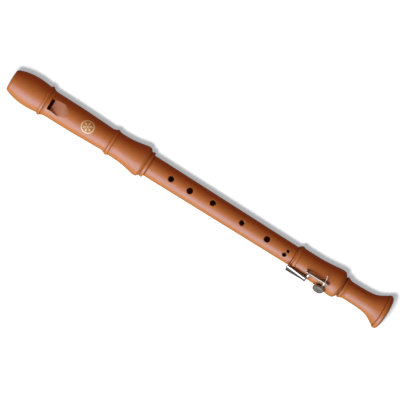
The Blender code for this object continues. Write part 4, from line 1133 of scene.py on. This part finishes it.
def post_piece(name, station, seat, metal):
    """Ball post with its shank, flange and stem, drilled for the rod."""
    ball = 2.4
    outline = [(seat - 3.6, 0.0), (seat - 3.6, 1.2), (seat, 1.2), (seat, 2.5), (seat + 0.1, 2.7),
               (seat + 0.35, 2.7), (seat + 0.5, 2.5)]
    lowest = max(seat + 0.5, HINGE_RADIUS - ball * 0.85)
    first = math.acos((HINGE_RADIUS - lowest) / ball)
    waist = ball * math.sin(first)
    if lowest > seat + 0.6:
        outline += [(seat + 0.5, 1.7), (seat + 0.75, 1.5), (lowest - 0.1, min(1.4, waist))]
    for k in range(17):
        turn = taper(first, math.pi, k / 16)
        outline.append((HINGE_RADIUS - ball * math.cos(turn), ball * math.sin(turn) if k < 16 else 0.0))
    place = Matrix.Translation((TIP_X + station * MM, 0.0, AXIS_Z))
    post = turned_solid(name, outline, place @ Matrix.Rotation(math.radians(HINGE_ANGLE), 4, "X"), metal)
    near, far = at_x(station - 6.0, HINGE), at_x(station + 6.0, HINGE)
    carve(post, [drum_tool("rod_drill", 1.1, near, far, metal, steps=32)], sharp=40.0)
    return post


def tube_piece(metal):
    """Hinge tube with a sleeve where each arm is soldered, and the small catch for the spring."""
    start, end = UPPER_POST + POST_TO_TUBE, LOWER_POST - POST_TO_TUBE
    sleeve, inside = TUBE + 0.16, 1.15
    outline = [(start, TUBE - 0.15), (start + 0.15, TUBE)]
    for middle, width in ((TOUCH_ARM + 0.4, 3.0), (CUP_ARM, 3.2)):
        low, high = middle - width / 2, middle + width / 2
        outline += [(low - 0.1, TUBE), (low, sleeve), (high, sleeve), (high + 0.1, TUBE)]
    outline += [(end - 0.15, TUBE), (end, TUBE - 0.15), (end, inside), (start, inside)]
    outline = [row for row in outline if start <= row[0] <= end]
    tube = spun("hinge_tube_metal", outline, metal, steps=48)
    shift = HINGE - Vector((TIP_X, 0.0, AXIS_Z))
    tube.data.transform(Matrix.Translation((0.0, shift.y, shift.z)))
    low = Vector((-0.6 * MM, 1.6 * MM, -0.45 * MM))
    high = Vector((0.6 * MM, 2.9 * MM, 0.45 * MM))
    catch = box_tool("spring_catch", low, high, metal)
    slope = Matrix.Rotation(CATCH_ANGLE, 4, "X")
    catch.data.transform(Matrix.Translation(at_x(SPRING_CATCH, HINGE)) @ slope)
    soften(catch, 0.12)
    return tube, catch


# The whole

def put(piece, body, slot, *nodes):
    """Hands a piece to its body, in place of the CAD nodes that it dresses."""
    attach(piece, body)
    if nodes:
        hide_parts(*nodes)


def build():
    make_camera()
    make_world()
    make_lights(make_floor())
    finish = make_finishes()
    raw, bore, painted_shade, lit_wall = finish["raw"], finish["bore"], finish["painted_shade"], finish["lit_wall"]
    plated, polished = finish["plated"], finish["polished"]
    put(head_piece(finish["head"], raw, bore, painted_shade), "head", "pearwood", "head_joint")
    put(middle_piece(finish["middle"], lit_wall, bore, painted_shade), "middle", "pearwood", "middle_joint")
    put(foot_piece(finish["foot"], bore, painted_shade), "foot", "pearwood", "foot_joint")
    put(gilt_ornament(finish["gilt"]), "head", "pearwood")
    put(touch_plate_piece(polished), "key", "nickel_silver", "touch_plate")
    put(touch_arm_piece(polished), "key", "nickel_silver", "touch_arm")
    put(pad_cup_piece(plated), "key", "nickel_silver", "pad_cup")
    put(cup_arm_piece(plated, finish["satin"]), "key", "nickel_silver", "cup_arm")
    # The heel wears the near-white painted sheen
    put(heel_piece(finish["brushed"]), "key", "nickel_silver", "heel_arm")
    tube, catch = tube_piece(plated)
    put(tube, "key", "nickel_silver", "hinge_tube")
    put(catch, "key", "nickel_silver")
    put(post_piece("upper_post_metal", UPPER_POST, 18.9, plated), "foot", "nickel_silver", "upper_key_post")
    put(post_piece("lower_post_metal", LOWER_POST, 20.4, plated), "foot", "nickel_silver", "lower_key_post")
    # These CAD solids show as they are, in their own finish.
    kept = {"block": "cedar", "upper_tenon_cork": "cork", "lower_tenon_cork": "cork", "pivot_rod": "steel",
            "heel_cork": "cork", "key_pad": "leather", "key_spring": "steel"}
    for node, name in kept.items():
        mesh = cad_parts[node].data
        mesh.materials.clear()
        mesh.materials.append(finish[name])


build()
bpy.context.scene.view_settings.view_transform = "Standard"
